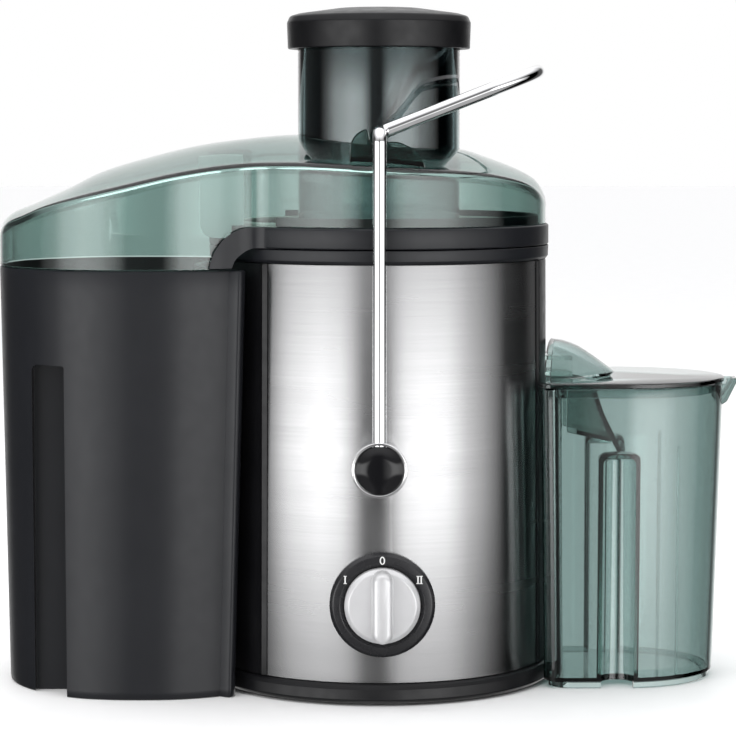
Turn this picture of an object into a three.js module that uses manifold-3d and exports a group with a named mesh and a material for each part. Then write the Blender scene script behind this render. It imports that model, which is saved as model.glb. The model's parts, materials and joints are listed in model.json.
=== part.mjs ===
// Centrifugal juicer: motor base, bowl, spinning basket, see-through lid with feed chute, pulp container and jug.
// Millimetres, +Z up, +X towards the juice jug, -Y towards the user, standing on the plane z = 0.
import * as THREE from "three";
import { mergeVertices } from "three/addons/utils/BufferGeometryUtils.js";
import Module from "manifold-3d";

const wasm = await Module();
wasm.setup();

// ---------- driving dimensions ----------
const CENTRE_X = 4.85; // moves the motor axis so that the whole assembly is centred over the origin
const CENTRE_Y = 1.1;

const GAP = 0.4; // air between neighbouring parts that touch in use
const ROUND = 36; // facets of the large round parts

// Motor base
const BASE_R = 87.9; // foot of the plastic base ring
const BASE_TOP = 10.4;
const STEEL_LOW = 10.8;
const STEEL_HIGH = 210.4;
const STEEL_R_LOW = 84.8; // the steel wrap widens a little towards the floor
const STEEL_R_HIGH = 83.4;
const STEEL_THICK = 0.8;
const STEEL_LEFT_DEG = 39.7; // how far the steel reaches round from the front, towards the pulp side
const STEEL_RIGHT_DEG = 67.2; // and towards the jug side
const SHELL_WALL = 3;
const COLLAR_R = 84.9;
const COLLAR_LOW = 210.8;
const COLLAR_HIGH = 217.3;
const DECK_Z = 146;

// Bowl
const BAND_R = 84.9;
const BAND_LOW = 217.8;
const BAND_HIGH = 227.8;
const LIP_R = 79.6;
const LIP_TOP = 232.4;
const BOWL_FLOOR = 151.8;
const BOWL_WALL = 2.5;
const OUTLET_HALF = 20;
const OUTLET_TOP = 168;

// Lid
const LID_R = 83.6;
const LID_WALL = 2.2;
const LID_LEFT = -189.2;
const LID_LOW = 207.9;
const CHUTE_R = 40.4;
const CHUTE_WALL = 2.4;
const CHUTE_TOP = 315.4;
const CHUTE_LOW = 222;
const CHUTE_FIT = 0.3; // joint between the tube and the lid that it is fixed in

// Pusher
const PUSHER_R = 37.2;
const PUSHER_LOW = 257.6;
const CAP_R = 45.8;
const CAP_LOW = 314.4;
const CAP_TOP = 335.4;

// Pulp container
const BIN_TOP = 207.2;
const BIN_WALL = 2.4;
const BIN_GRIP_LEFT = -168.5;
const BIN_GRIP_RIGHT = -151.4;
const BIN_GRIP_TOP = 161.3;
const BIN_GRIP_DEPTH = 45; // half-depth left between the two finger recesses

// Jug
const JUG_TOP = 148.4;
const JUG_WALL = 2.2;
const JUG_BODY_R = 90; // hollow side that wraps round the motor base
const JUG_GRIP_X = 117.4;
const JUG_GRIP_R = 8;
const JUG_GRIP_Y = 42;
const JUG_GRIP_TOP = 114.5;

// Locking arm
const PIVOT_Z = 114.3;
const ROD_R = 3.3;
const LEG_Y = 91;
const HANDLE_Y = 79;
const ELBOW_Z = 272.8;
const BAR_X = 76;
const BAR_Z = 302.4;

// Dial
const DIAL_X = 1.4;
const DIAL_Z = 48.9;
const DIAL_R = 25.2;
const KNOB_R = 18.1;

// ---------- materials ----------
function material(color, roughness, metalness) {
  return new THREE.MeshStandardMaterial({ color, roughness, metalness });
}
const CHARCOAL = () => material(0x26272b, 0.45, 0);
const BLACK = () => material(0x121316, 0.35, 0);
const GLOSS_BLACK = () => material(0x0a0b0d, 0.08, 0);
const SMOKE = () => material(0x8fa6a0, 0.05, 0);
const BRUSHED = () => material(0xc4c5c8, 0.32, 1);
const CHROME = () => material(0xe4e5e8, 0.06, 1);
const SILVER = () => material(0xcfd0d3, 0.3, 0.6);
const STEEL = () => material(0xa9abb0, 0.3, 1);
const COPPER = () => material(0xb5652f, 0.35, 1);
const IRON = () => material(0x6a6c70, 0.5, 1);
const RUBBER = () => material(0x1b1b1c, 0.85, 0);
const WHITE_PLASTIC = () => material(0xd8d6cf, 0.5, 0);
const CARBON = () => material(0x2c2c2e, 0.7, 0.1);

// ---------- solid modelling helpers ----------
// A closed geometry as a solid, turned the right way out.
function solid(geometry) {
  const bare = new THREE.BufferGeometry();
  bare.setAttribute("position", geometry.getAttribute("position").clone());
  if (geometry.index) bare.setIndex(geometry.index.clone());
  const merged = mergeVertices(bare, 1e-4);
  const place = merged.getAttribute("position");
  const corner = merged.index.array;
  const faces = [];
  const [a, b, c] = [new THREE.Vector3(), new THREE.Vector3(), new THREE.Vector3()];
  let volume = 0;
  for (let i = 0; i < corner.length; i += 3) {
    const [p, q, r] = [corner[i], corner[i + 1], corner[i + 2]];
    if (p === q || q === r || r === p) continue;
    faces.push(p, q, r);
    a.fromBufferAttribute(place, p);
    b.fromBufferAttribute(place, q);
    c.fromBufferAttribute(place, r);
    volume += a.dot(b.cross(c));
  }
  if (volume < 0) faces.reverse();
  return new wasm.Manifold(
    new wasm.Mesh({
      numProp: 3,
      vertProperties: new Float32Array(place.array),
      triVerts: new Uint32Array(faces),
    }),
  );
}

// A named mesh from a solid.
function part(name, body, finish) {
  const mesh = body.getMesh();
  const geometry = new THREE.BufferGeometry();
  const stride = mesh.numProp;
  const points = new Float32Array(mesh.numVert * 3);
  for (let i = 0; i < mesh.numVert; i++) {
    points.set(mesh.vertProperties.subarray(i * stride, i * stride + 3), i * 3);
  }
  geometry.setAttribute("position", new THREE.BufferAttribute(points, 3));
  geometry.setIndex(new THREE.BufferAttribute(new Uint32Array(mesh.triVerts), 1));
  geometry.computeVertexNormals();
  const made = new THREE.Mesh(geometry, finish());
  made.name = name;
  return made;
}

function union(...solids) {
  return solids.reduce((all, next) => all.add(next));
}

function box(x0, x1, y0, y1, z0, z1) {
  const made = new THREE.BoxGeometry(x1 - x0, y1 - y0, z1 - z0);
  made.translate((x0 + x1) / 2, (y0 + y1) / 2, (z0 + z1) / 2);
  return solid(made);
}

// A shape turned about the Z axis. A profile that stays off the axis is a closed loop.
function turned(profile, facets = ROUND) {
  const points = profile.map(([r, z]) => new THREE.Vector2(r, z));
  if (profile.every(([r]) => r > 0)) points.push(points[0].clone());
  const made = new THREE.LatheGeometry(points, facets);
  made.rotateX(Math.PI / 2);
  return solid(made);
}

function ringOf(rIn, rOut, z0, z1, facets = ROUND) {
  return turned([[rIn, z0], [rOut, z0], [rOut, z1], [rIn, z1]], facets);
}

function discOf(r, z0, z1, facets = ROUND) {
  return turned([[0, z0], [r, z0], [r, z1], [0, z1]], facets);
}

// Turns a solid made about Z so that its axis points along Y, and puts it at (x, z).
function alongY(body, x, z) {
  return body.rotate([90, 0, 0]).translate([x, 0, z]);
}

// A flat outline in plan, raised from z0 to z1.
function raised(outline, z0, z1) {
  const shape = new THREE.Shape(outline.map(([x, y]) => new THREE.Vector2(x, y)));
  const made = new THREE.ExtrudeGeometry(shape, { depth: z1 - z0, bevelEnabled: false });
  made.translate(0, 0, z0);
  return solid(made);
}

// An outline drawn in X and Z, with depth from y0 to y1.
function upright(outline, y0, y1) {
  const shape = new THREE.Shape(outline.map(([x, z]) => new THREE.Vector2(x, z)));
  const made = new THREE.ExtrudeGeometry(shape, { depth: y1 - y0, bevelEnabled: false });
  made.rotateX(Math.PI / 2);
  made.translate(0, y1, 0);
  return solid(made);
}

// A skin over a row of rings with equal counts of points, closed by flat ends.
function loft(rings, flat) {
  const count = rings[0].length;
  const index = [];
  for (let i = 0; i + 1 < rings.length; i++) {
    for (let j = 0; j < count; j++) {
      const a = i * count + j;
      const b = i * count + ((j + 1) % count);
      index.push(a, b, a + count, b, b + count, a + count);
    }
  }
  const last = (rings.length - 1) * count;
  for (const [ring, start, turn] of [[rings[0], 0, -1], [rings.at(-1), last, 1]]) {
    const outline = ring.map((p, k) => new THREE.Vector2(...flat(p, k)));
    const whole = THREE.ShapeUtils.area(outline);
    for (const face of THREE.ShapeUtils.triangulateShape(outline, [])) {
      const sign = THREE.ShapeUtils.area(face.map((k) => outline[k])) * whole * turn;
      const order = sign > 0 ? face : [face[0], face[2], face[1]];
      index.push(...order.map((k) => start + k));
    }
  }
  const made = new THREE.BufferGeometry();
  made.setAttribute("position", new THREE.Float32BufferAttribute(rings.flat(2), 3));
  made.setIndex(index);
  return solid(made);
}

// A profile of [r, z] points swept about the Z axis from one angle to another, in degrees.
function swept(profile, from, to, steps) {
  const rings = [];
  for (let i = 0; i <= steps; i++) {
    const turn = THREE.MathUtils.degToRad(from + ((to - from) * i) / steps);
    rings.push(profile.map(([r, z]) => [r * Math.cos(turn), r * Math.sin(turn), z]));
  }
  return loft(rings, ([x, y, z]) => [Math.hypot(x, y), z]);
}

// A smooth curve of value against position through a few control points.
function curveOf(points) {
  const spline = new THREE.CubicInterpolant(
    new Float32Array(points.map((p) => p[0])),
    new Float32Array(points.map((p) => p[1])),
    1,
    new Float32Array(1),
  );
  return (x) => spline.evaluate(x)[0];
}

// A polyline with each inner corner rounded to its own radius.
function rounded(corners, radii, stepDeg = 30) {
  const path = [corners[0].clone()];
  for (let i = 1; i + 1 < corners.length; i++) {
    const back = corners[i - 1].clone().sub(corners[i]).normalize();
    const on = corners[i + 1].clone().sub(corners[i]).normalize();
    const half = Math.acos(THREE.MathUtils.clamp(back.dot(on), -1, 1)) / 2;
    const bend = Math.PI - 2 * half;
    const middle = back.clone().add(on).normalize();
    const centre = corners[i].clone().addScaledVector(middle, radii[i - 1] / Math.sin(half));
    const reach = radii[i - 1] / Math.tan(half);
    const first = corners[i].clone().addScaledVector(back, reach).sub(centre);
    const axis = back.clone().cross(on).normalize().negate();
    const steps = Math.max(2, Math.round(THREE.MathUtils.radToDeg(bend) / stepDeg));
    for (let k = 0; k <= steps; k++) {
      path.push(first.clone().applyAxisAngle(axis, (bend * k) / steps).add(centre));
    }
  }
  path.push(corners.at(-1).clone());
  return path;
}

// A round rod along a polyline, its section carried without twist.
function rod(path, radius, sides = 12) {
  const heading = path.map((p, i) => {
    const before = path[Math.max(0, i - 1)];
    const after = path[Math.min(path.length - 1, i + 1)];
    return after.clone().sub(before).normalize();
  });
  const turn = new THREE.Quaternion();
  const side = new THREE.Vector3(1, 0, 0);
  const rings = path.map((p, i) => {
    if (i > 0) side.applyQuaternion(turn.setFromUnitVectors(heading[i - 1], heading[i]));
    const up = heading[i].clone().cross(side).normalize();
    return Array.from({ length: sides }, (_, k) => {
      const angle = (2 * Math.PI * k) / sides;
      const at = p.clone();
      at.addScaledVector(side, radius * Math.cos(angle));
      at.addScaledVector(up, radius * Math.sin(angle));
      return at.toArray();
    });
  });
  return loft(rings, (_, k) => polar(1, (360 * k) / sides));
}

function polar(r, degrees) {
  const angle = THREE.MathUtils.degToRad(degrees);
  return [r * Math.cos(angle), r * Math.sin(angle)];
}

// ---------- shared outlines ----------
// Half-depth of the lid over the bowl and the pulp container, by distance from the motor axis.
const CONTAINER_HALF_DEPTH = curveOf([
  [LID_LEFT, 8], [-187.6, 19], [-183, 33], [-176, 45], [-168, 54.5], [-160, 62], [-151, 68.5],
  [-140, 73], [-125, 75.6], [-110, 76], [-96, 75], [-84, 72], [-76, 68.8], [-70, 65.6], [-65, 63.2],
  [-60, 62.2], [-55, 63.4], [-50, 67],
]);
function halfDepth(x) {
  if (x > -52) return Math.sqrt(Math.max(0, LID_R * LID_R - x * x));
  return CONTAINER_HALF_DEPTH(Math.max(x, LID_LEFT));
}

// The same outline moved inwards by a wall's thickness.
function halfDepthInside(x, wall) {
  if (x > -52) return Math.sqrt(Math.max(0, (LID_R - wall) ** 2 - x * x));
  const slope = (halfDepth(x + 0.5) - halfDepth(x - 0.5)) / 1;
  return halfDepth(x) - wall * Math.min(3, Math.hypot(1, slope));
}

// Front and rear top edge of the lid, and its crown along the middle.
const EDGE_Z = curveOf([
  [LID_LEFT, 223], [-183, 229], [-172, 233.5], [-161, 238], [-142, 243.4], [-123, 248], [-97, 254],
  [-70, 258], [-39, 259], [0, 257.2], [45, 254.4], [66, 250.5], [77, 245.5], [84, 238],
]);
const CROWN_Z = curveOf([
  [LID_LEFT, 225], [-187.6, 228.8], [-182.5, 233.3], [-172.5, 237.6], [-154.4, 245.6], [-137, 254],
  [-107, 262.8], [-89, 266.8], [-72, 269.3], [-40, 272], [0, 270], [41, 264.8], [56, 260], [69, 254.9],
  [77, 250.4], [81, 245.6], [84, 238.6],
]);

// Upper and lower edge of the bowl's band where it sweeps down to the pulp container.
const WING_TOP = [[-50, 227.8], [-60, 227.8], [-66, 227], [-71, 224.8], [-75, 221.4], [-78.4, 216.4], [-80.4, 211.4], [-81, 208.3]];
const WING_LOW = [[-70.6, 208.3], [-69, 212], [-66, 215], [-62.3, 217.2], [-59, 217.8], [-50, 217.8]];

// ---------- motor base ----------
function steelRadius(z) {
  return THREE.MathUtils.mapLinear(z, STEEL_LOW, STEEL_HIGH, STEEL_R_LOW, STEEL_R_HIGH);
}

function wallProfile(inset, thick, z0, z1) {
  const low = steelRadius(z0) - inset;
  const high = steelRadius(z1) - inset;
  return [[low - thick, z0], [low, z0], [high, z1], [high - thick, z1]];
}

const spoutWindow = () => box(60, 100, -12.8, 12.8, 151, 162.8);
const pivotHole = () => alongY(discOf(4.5, -95, 95, 16), 0, PIVOT_Z);
const dialHole = () => alongY(discOf(5, 60, 95, 16), DIAL_X, DIAL_Z);
const glandHole = () => alongY(discOf(6.7, -95, -60, 16), -14, 24);

function bodyShell() {
  const wall = turned(wallProfile(STEEL_THICK + GAP, SHELL_WALL, STEEL_LOW, STEEL_HIGH));
  return wall.subtract(spoutWindow()).subtract(pivotHole()).subtract(dialHole()).subtract(glandHole());
}

function steelFront() {
  const profile = wallProfile(0, STEEL_THICK, STEEL_LOW, STEEL_HIGH);
  const panel = swept(profile, -90 - STEEL_LEFT_DEG, -90 + STEEL_RIGHT_DEG, 20);
  return panel.subtract(pivotHole()).subtract(dialHole());
}

function steelRear() {
  const profile = wallProfile(0, STEEL_THICK, STEEL_LOW, STEEL_HIGH);
  const panel = swept(profile, 90 - STEEL_RIGHT_DEG, 90 + STEEL_LEFT_DEG, 20);
  return panel.subtract(pivotHole()).subtract(glandHole());
}

// The trims close the wrap on both sides: a flat strip with a raised bead along each edge.
function sideTrim(middle, half, steps) {
  const flat = wallProfile(-0.2, 1, STEEL_LOW, STEEL_HIGH);
  const bead = wallProfile(-1.1, 1.6, STEEL_LOW, STEEL_HIGH);
  return union(
    swept(flat, middle - half, middle + half, steps),
    swept(bead, middle - half, middle - half + 3, 1),
    swept(bead, middle + half - 3, middle + half, 1),
  );
}

const trimRight = () => sideTrim(0, 90 - STEEL_RIGHT_DEG - 0.3, 6).subtract(spoutWindow());
const trimLeft = () => sideTrim(180, 90 - STEEL_LEFT_DEG - 0.3, 14);

function collar() {
  const low = COLLAR_R - 1.2;
  return turned([
    [75, COLLAR_LOW], [low, COLLAR_LOW], [COLLAR_R, COLLAR_LOW + 1.2], [COLLAR_R, COLLAR_HIGH],
    [75, COLLAR_HIGH],
  ]);
}

function baseRing() {
  return turned([
    [79.2, 1.4], [86.2, 1.4], [BASE_R, 3], [BASE_R - 0.6, BASE_TOP], [79.2, BASE_TOP],
  ]);
}

// Bottom cover with rows of air slots under the cooling fan.
function bottomPlate() {
  let plate = discOf(78.8, 2.9, 5.4);
  for (let i = 0; i < 9; i++) {
    const x = -32 + i * 8;
    const reach = Math.sqrt(38 * 38 - x * x);
    plate = plate.subtract(box(x - 1.6, x + 1.6, -reach, reach, 2, 6.2));
  }
  return plate;
}

function foot(degrees) {
  const [x, y] = polar(66, degrees);
  return turned([[0, 0], [7.4, 0], [8.2, 0.8], [8.2, 2.5], [0, 2.5]], 16).translate([x, y, 0]);
}

function motorDeck() {
  const deck = ringOf(13, 78, DECK_Z, DECK_Z + 3);
  return deck.add(ringOf(13, 15.5, DECK_Z - 8, DECK_Z + 0.5));
}

function cordGland() {
  const body = turned([[3.4, 74], [6.2, 74], [6.2, 85], [8.6, 85], [7.6, 90], [3.4, 90]], 16);
  return body.rotate([-90, 0, 0]).translate([-14, 0, 24]);
}

// ---------- bowl ----------
function wingPlan(side) {
  const xs = [-86, -82, -78, -74, -70, -66, -62, -58, -54, -50];
  const outer = xs.map((x) => [x, side * (halfDepth(x) + 1.2)]);
  const inner = xs.map((x) => [x, side * (halfDepth(x) - 1.8)]).reverse();
  return raised([...outer, ...inner], 200, 232);
}

function bowlCup() {
  return turned([
    [9, BOWL_FLOOR], [69, BOWL_FLOOR], [74, BOWL_FLOOR + 5], [74, BAND_LOW], [BAND_R, BAND_LOW],
    [BAND_R, BAND_HIGH], [LIP_R, BAND_HIGH], [LIP_R, LIP_TOP], [LIP_R - 1.8, LIP_TOP],
    [LIP_R - 1.8, 225], [71.5, 214], [71.5, BOWL_FLOOR + 6], [68, BOWL_FLOOR + BOWL_WALL],
    [11.6, BOWL_FLOOR + BOWL_WALL], [11.6, 178], [9, 178],
  ]);
}

// The juice outlet fills a wide notch at the foot of the bowl's wall.
function bowl() {
  const notch = box(66, 80, -OUTLET_HALF - GAP, OUTLET_HALF + GAP, 140, OUTLET_TOP + GAP);
  const wings = upright([...WING_TOP, ...WING_LOW], -90, 90);
  const outlet = box(-95, -49, -70, 70, BAND_HIGH, 240);
  const sides = wings.intersect(union(wingPlan(-1), wingPlan(1)));
  return bowlCup().subtract(outlet).subtract(notch).add(sides);
}

// The juice outlet: a piece of the bowl's wall with a square tube that leads out to the jug.
function juiceSpout() {
  const wall = bowlCup().intersect(box(66 + GAP, 80, -OUTLET_HALF, OUTLET_HALF, 140, OUTLET_TOP));
  const tube = box(70, 96.5, -12, 12, BOWL_FLOOR, 162);
  const bore = box(60, 99, -10, 10, BOWL_FLOOR + BOWL_WALL, 159.8);
  return wall.add(tube).subtract(bore);
}

// ---------- lid ----------
// One cross-section: skirt up to a rounded edge, then a shallow crown over to the other side.
function lidSection(x, half, low, edge, crown, fillet) {
  const top = half - 0.8;
  const points = [[half, low]];
  for (const degrees of [0, 45, 90]) {
    const [c, s] = polar(fillet, degrees);
    points.push([top - fillet + c, edge - fillet + s]);
  }
  for (let i = 1; i < 6; i++) {
    const y = (top - fillet) * (1 - i / 3);
    const rise = 1 - (1 - i / 3) ** 2;
    points.push([y, edge + (crown - edge) * rise]);
  }
  for (const [y, z] of points.slice(0, 4).reverse()) points.push([-y, z]);
  return points.map(([y, z]) => [x, y, z]);
}

function lidStations(left, radius) {
  const turns = [5, 15, 26, 38, 50, 62, 74, 86, 98, 109, 119];
  const bowlSide = turns.map((a) => polar(radius, a)[0]);
  const middle = [-48, -53, -58, -63, -69, -76, -84, -96, -112, -128, -143, -154];
  const end = [-163, -171, -178, -184].filter((x) => x > left + 1);
  return [...bowlSide, ...middle, ...end, left];
}

function lidBlock(wall) {
  const left = LID_LEFT + wall;
  const sections = lidStations(left, LID_R - wall).map((x) => {
    const half = wall ? halfDepthInside(x, wall) : halfDepth(x);
    const low = wall ? LID_LOW - 8 : LID_LOW;
    const edge = EDGE_Z(x) - wall;
    const crown = Math.max(edge + 0.2, CROWN_Z(x) - wall);
    return lidSection(x, half, low, edge, crown, Math.min(5, half / 4));
  });
  return loft(sections, ([, y, z]) => [y, z]);
}

// The skirt stops above the bowl's band and follows the band's sweep down to the container.
function lidCutter() {
  const above = WING_TOP.map(([x, z]) => [x - 0.5, z + 0.45]).reverse();
  return upright([[-81.5, 190], ...above, [100, BAND_HIGH + 0.45], [100, 190]], -100, 100);
}

// Raised ears beside the chute: the locking arm drops into the notch between their two lobes.
function ear(side) {
  const lobes = [
    [-14, 250], [-14, 266], [-12.6, 270.4], [-9.6, 273.4], [-5.4, 274.4], [-4.2, 268.6],
    [4.4, 268.6], [9.6, 268.4], [14.6, 266.2], [18.8, 262.4], [21.4, 257.6], [22.4, 250],
  ];
  const lip = [[-9, 250], [-9, 268.4], [9, 268.4], [13, 264], [15, 250]];
  const block = side < 0 ? upright(lobes, -74.6, -66) : upright(lobes, 66, 74.6);
  const saddle = side < 0 ? upright(lip, -80, -74) : upright(lip, 74, 80);
  return block.add(saddle);
}

// Walls inside the lid that steer the pulp from the basket into the container.
function pulpGuide(side) {
  const outline = [[-87, 262], [-87, 229], [-85.6, 224.6], [-81.6, 222], [-66, 222], [-66, 262]];
  return side < 0 ? upright(outline, -46, -44.2) : upright(outline, 44.2, 46);
}

function lid() {
  const outer = lidBlock(0);
  const inner = lidBlock(LID_WALL);
  const chuteHole = discOf(CHUTE_R + CHUTE_FIT, CHUTE_LOW - 4, CHUTE_TOP);
  const above = union(ear(-1), ear(1)).subtract(inner);
  const bandRoom = discOf(BAND_R + 0.6, 200, BAND_HIGH + 0.5);
  const guides = union(pulpGuide(-1), pulpGuide(1)).intersect(outer).subtract(bandRoom);
  const shell = outer.subtract(inner).subtract(lidCutter());
  return union(shell, above, guides).subtract(chuteHole);
}

function feedChute() {
  return ringOf(CHUTE_R - CHUTE_WALL, CHUTE_R, CHUTE_LOW, CHUTE_TOP);
}

// ---------- pusher ----------
function pusherBody() {
  return turned([
    [0, 262], [30.4, 262], [32, PUSHER_LOW], [33.6, PUSHER_LOW], [PUSHER_R, 266.4], [PUSHER_R, 316],
    [0, 316],
  ]);
}

function pusherCap() {
  return turned([
    [0, 316.3], [CHUTE_R + 1, 316.3], [CHUTE_R + 1.4, CAP_LOW], [CAP_R, CAP_LOW], [CAP_R, 327.4],
    [CAP_R - 0.7, 329.6], [CAP_R - 2.6, 331], [CAP_R - 6, 331.8], [20, 334.6], [0, CAP_TOP],
  ]);
}

// ---------- pulp container ----------
// Plan of the container at a given height: it narrows a little towards the floor.
function binRing(z, wall) {
  const down = 1 - z / BIN_TOP;
  const left = LID_LEFT + wall;
  const xs = [-187.4, -184, -178, -170, -161, -151.2, -139, -125, -110, -96, -84, -75, -70];
  const front = xs.map((x) => {
    const at = Math.max(x, left);
    return [at, -(halfDepth(at) - wall * 1.12 - 0.2)];
  });
  const near = [[-66.4 - wall, -69.6 + wall], [-64.4 - wall, -66 + wall * 0.8], [-64 - wall * 1.2, -62.4 + wall * 0.4]];
  const hollow = [42, 30, 18, 6].map((a) => {
    const [x, y] = polar(90 + wall, 180 + a);
    return [x, y];
  });
  const side = [[left, -6], ...front, ...near, ...hollow];
  const all = [...side, ...side.map(([x, y]) => [x, -y]).reverse()];
  return all.map(([x, y]) => {
    const along = (x - LID_LEFT) / 127;
    return [x + down * (3.2 - 9.4 * along), y * (1 - 0.035 * down), z];
  });
}

function binGrip(side, wall) {
  const x0 = BIN_GRIP_LEFT - wall;
  const x1 = BIN_GRIP_RIGHT + wall;
  const top = BIN_GRIP_TOP + wall;
  const y = BIN_GRIP_DEPTH - wall;
  const outline = [[x0, -5], [x0, top - 3], [x0 + 3, top], [x1, top], [x1, -5]];
  return side < 0 ? upright(outline, -100, -y) : upright(outline, y, 100);
}

function pulpContainer() {
  const plan = ([x, y]) => [x, y];
  const outer = loft([binRing(0, 1), binRing(1.4, 0), binRing(BIN_TOP, 0)], plan);
  const inner = loft([binRing(3, BIN_WALL), binRing(BIN_TOP + 4, BIN_WALL)], plan);
  const cavity = inner.subtract(binGrip(-1, BIN_WALL)).subtract(binGrip(1, BIN_WALL));
  return outer.subtract(binGrip(-1, 0)).subtract(binGrip(1, 0)).subtract(cavity);
}

// ---------- jug ----------
// Plan of the jug: hollow side against the base, straight front, half-round end.
function jugRing(z, wall) {
  const up = z / JUG_TOP;
  const deep = 45 + 5 * up - wall;
  const end = 168.6 + 4.4 * up - wall;
  const turnX = 120;
  const bodyR = JUG_BODY_R + wall;
  const stop = THREE.MathUtils.radToDeg(Math.asin((deep - 7) / bodyR));
  const side = [0.15, 0.5, 1].map((s) => polar(bodyR, -stop * s));
  const [cx, cy] = polar(bodyR, -stop);
  side.push([cx + 1.2, -deep + 3.2], [cx + 4.4, -deep + 0.7], [cx + 8.6, -deep], [turnX - 16, -deep]);
  for (const degrees of [0, 14, 28, 42, 56, 69, 81]) {
    const [c, s] = polar(1, degrees);
    side.push([turnX + (end - turnX) * s, -deep * c]);
  }
  const all = [...side, ...side.map(([x, y]) => [x, -y]).reverse()];
  return all.map(([x, y]) => [x, y, z]);
}

// A finger groove with a domed top, cut into the side of the jug.
function jugGrip(side, wall) {
  const r = JUG_GRIP_R + wall;
  const y = side * JUG_GRIP_Y;
  const top = JUG_GRIP_TOP + wall;
  const hole = turned([[0, -5], [r, -5], [r, top - 2.6], [r - 0.8, top - 0.8], [r - 2.6, top], [0, top]], 20);
  const half = [[r, top - 2.6], [r - 0.8, top - 0.8], [r - 2.6, top]];
  const face = [
    [JUG_GRIP_X - r, -5], ...half.map(([x, z]) => [JUG_GRIP_X - x, z]),
    ...half.reverse().map(([x, z]) => [JUG_GRIP_X + x, z]), [JUG_GRIP_X + r, -5],
  ];
  const slot = side < 0 ? upright(face, -70, y) : upright(face, y, 70);
  return hole.translate([JUG_GRIP_X, y, 0]).add(slot);
}

function jug() {
  const plan = ([x, y]) => [x, y];
  const outer = loft([jugRing(0, 1.6), jugRing(3, 1.6), jugRing(3.4, 0), jugRing(JUG_TOP, 0)], plan);
  const inner = loft([jugRing(5.4, JUG_WALL), jugRing(JUG_TOP + 4, JUG_WALL)], plan);
  const cavity = inner.subtract(jugGrip(-1, JUG_WALL)).subtract(jugGrip(1, JUG_WALL));
  const lipSide = [[168, JUG_TOP], [179.5, JUG_TOP], [179.5, JUG_TOP - 1.2], [173.4, 138], [168, 136]];
  const lip = upright(lipSide, -7, 7);
  const pour = upright([[164, 160], [177, 160], [177, 147], [171, 140.4], [164, 140.4]], -5, 5);
  const ribs = [136.9, 146.7].map((x, i) => box(x - 0.5, x + 0.5, -47, -28, 4.4, i ? 119.5 : 128));
  const inside = union(...ribs).intersect(loft([jugRing(4, 1), jugRing(JUG_TOP, 1)], plan));
  const kept = inside.subtract(loft([jugRing(4, JUG_WALL + 1), jugRing(JUG_TOP, JUG_WALL + 1)], plan));
  return outer.subtract(jugGrip(-1, 0)).subtract(jugGrip(1, 0)).add(lip).subtract(cavity).subtract(pour).add(kept);
}

// ---------- jug lid ----------
function jugLid() {
  const plan = ([x, y]) => [x, y];
  const z0 = JUG_TOP + 0.4;
  const rimOf = (z, wall) => jugRing(JUG_TOP, wall).map(([x, y]) => [x, y, z]);
  const disc = loft([rimOf(z0, -0.6), rimOf(z0 + 2.5, -0.2)], plan);
  const plug = loft([rimOf(143.8, 2.9), rimOf(z0 + 1, 2.9)], plan);
  const plugHole = loft([rimOf(140, 4.5), rimOf(z0, 4.5)], plan);
  const dome = (grow) => {
    const rings = [0, 18, 36, 54, 72].map((degrees) => {
      const [c, s] = polar(1, degrees);
      const z = z0 + 1.2 + (19.6 - grow) * s;
      const reach = (33.6 - grow) * c;
      const wide = (23 - grow) * Math.sqrt(c);
      const points = [[80, -wide]];
      for (const turn of [90, 68, 45, 22, 0]) {
        const [u, v] = polar(1, turn);
        points.push([85.6 + reach * u, -wide * v]);
      }
      for (const [x, y] of points.slice(0, -1).reverse()) points.push([x, -y]);
      return points.map(([x, y]) => [x, y, z]);
    });
    return loft(rings, plan);
  };
  const hood = dome(0);
  const hollow = dome(2).translate([0, 0, -0.6]);
  const slot = box(80, 112, -13.4, 13.4, 138, z0 + 3);
  const near = discOf(JUG_BODY_R - 2.2, 100, 200, 72);
  return union(disc.add(plug).subtract(plugHole), hood)
    .subtract(hollow)
    .subtract(slot)
    .subtract(near);
}

// Froth separator: two cheeks under the lid, a sloping floor and a flap that holds back the foam.
function frothSeparator() {
  const cheek = [[95.6, JUG_TOP], [106, JUG_TOP], [109.4, 138.1], [115.4, 119.4], [93.6, 124.1], [93.6, 141]];
  const flap = [[106.2, 140.4], [108.8, 140.4], [121.4, 114.6], [118.6, 114.6]];
  const ramp = [[98.6, 123.2], [115.6, 119.4], [115.6, 121.4], [98.6, 125.2]];
  return union(
    upright(cheek, -16.4, -14.6),
    upright(cheek, 14.6, 16.4),
    upright(flap, -16.4, 16.4),
    upright(ramp, -15.4, 15.4),
  );
}

// ---------- locking arm ----------
function lockingArm() {
  const corner = (x, y, z) => new THREE.Vector3(x, y, z);
  const path = rounded(
    [
      corner(0, -LEG_Y, PIVOT_Z + 8), corner(0, -LEG_Y, ELBOW_Z), corner(0, -HANDLE_Y, ELBOW_Z),
      corner(BAR_X, -HANDLE_Y, BAR_Z), corner(BAR_X, HANDLE_Y, BAR_Z), corner(0, HANDLE_Y, ELBOW_Z),
      corner(0, LEG_Y, ELBOW_Z), corner(0, LEG_Y, PIVOT_Z + 8),
    ],
    [4.6, 4.6, 26, 26, 4.6, 4.6],
  );
  const eye = turned([
    [4.2, 87.1], [12.9, 87.1], [12.9, 94.2], [11.9, 94.2], [11.9, 91], [4.2, 91],
  ], 24);
  const wire = rod(path, ROD_R, 10);
  const clear = discOf(11.9, 91, 99, 24);
  const front = alongY(eye, 0, PIVOT_Z);
  const rear = front.rotate([0, 0, 180]);
  const frontClear = alongY(clear, 0, PIVOT_Z);
  const rearClear = frontClear.rotate([0, 0, 180]);
  return wire.subtract(frontClear).subtract(rearClear).add(front).add(rear);
}

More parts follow.
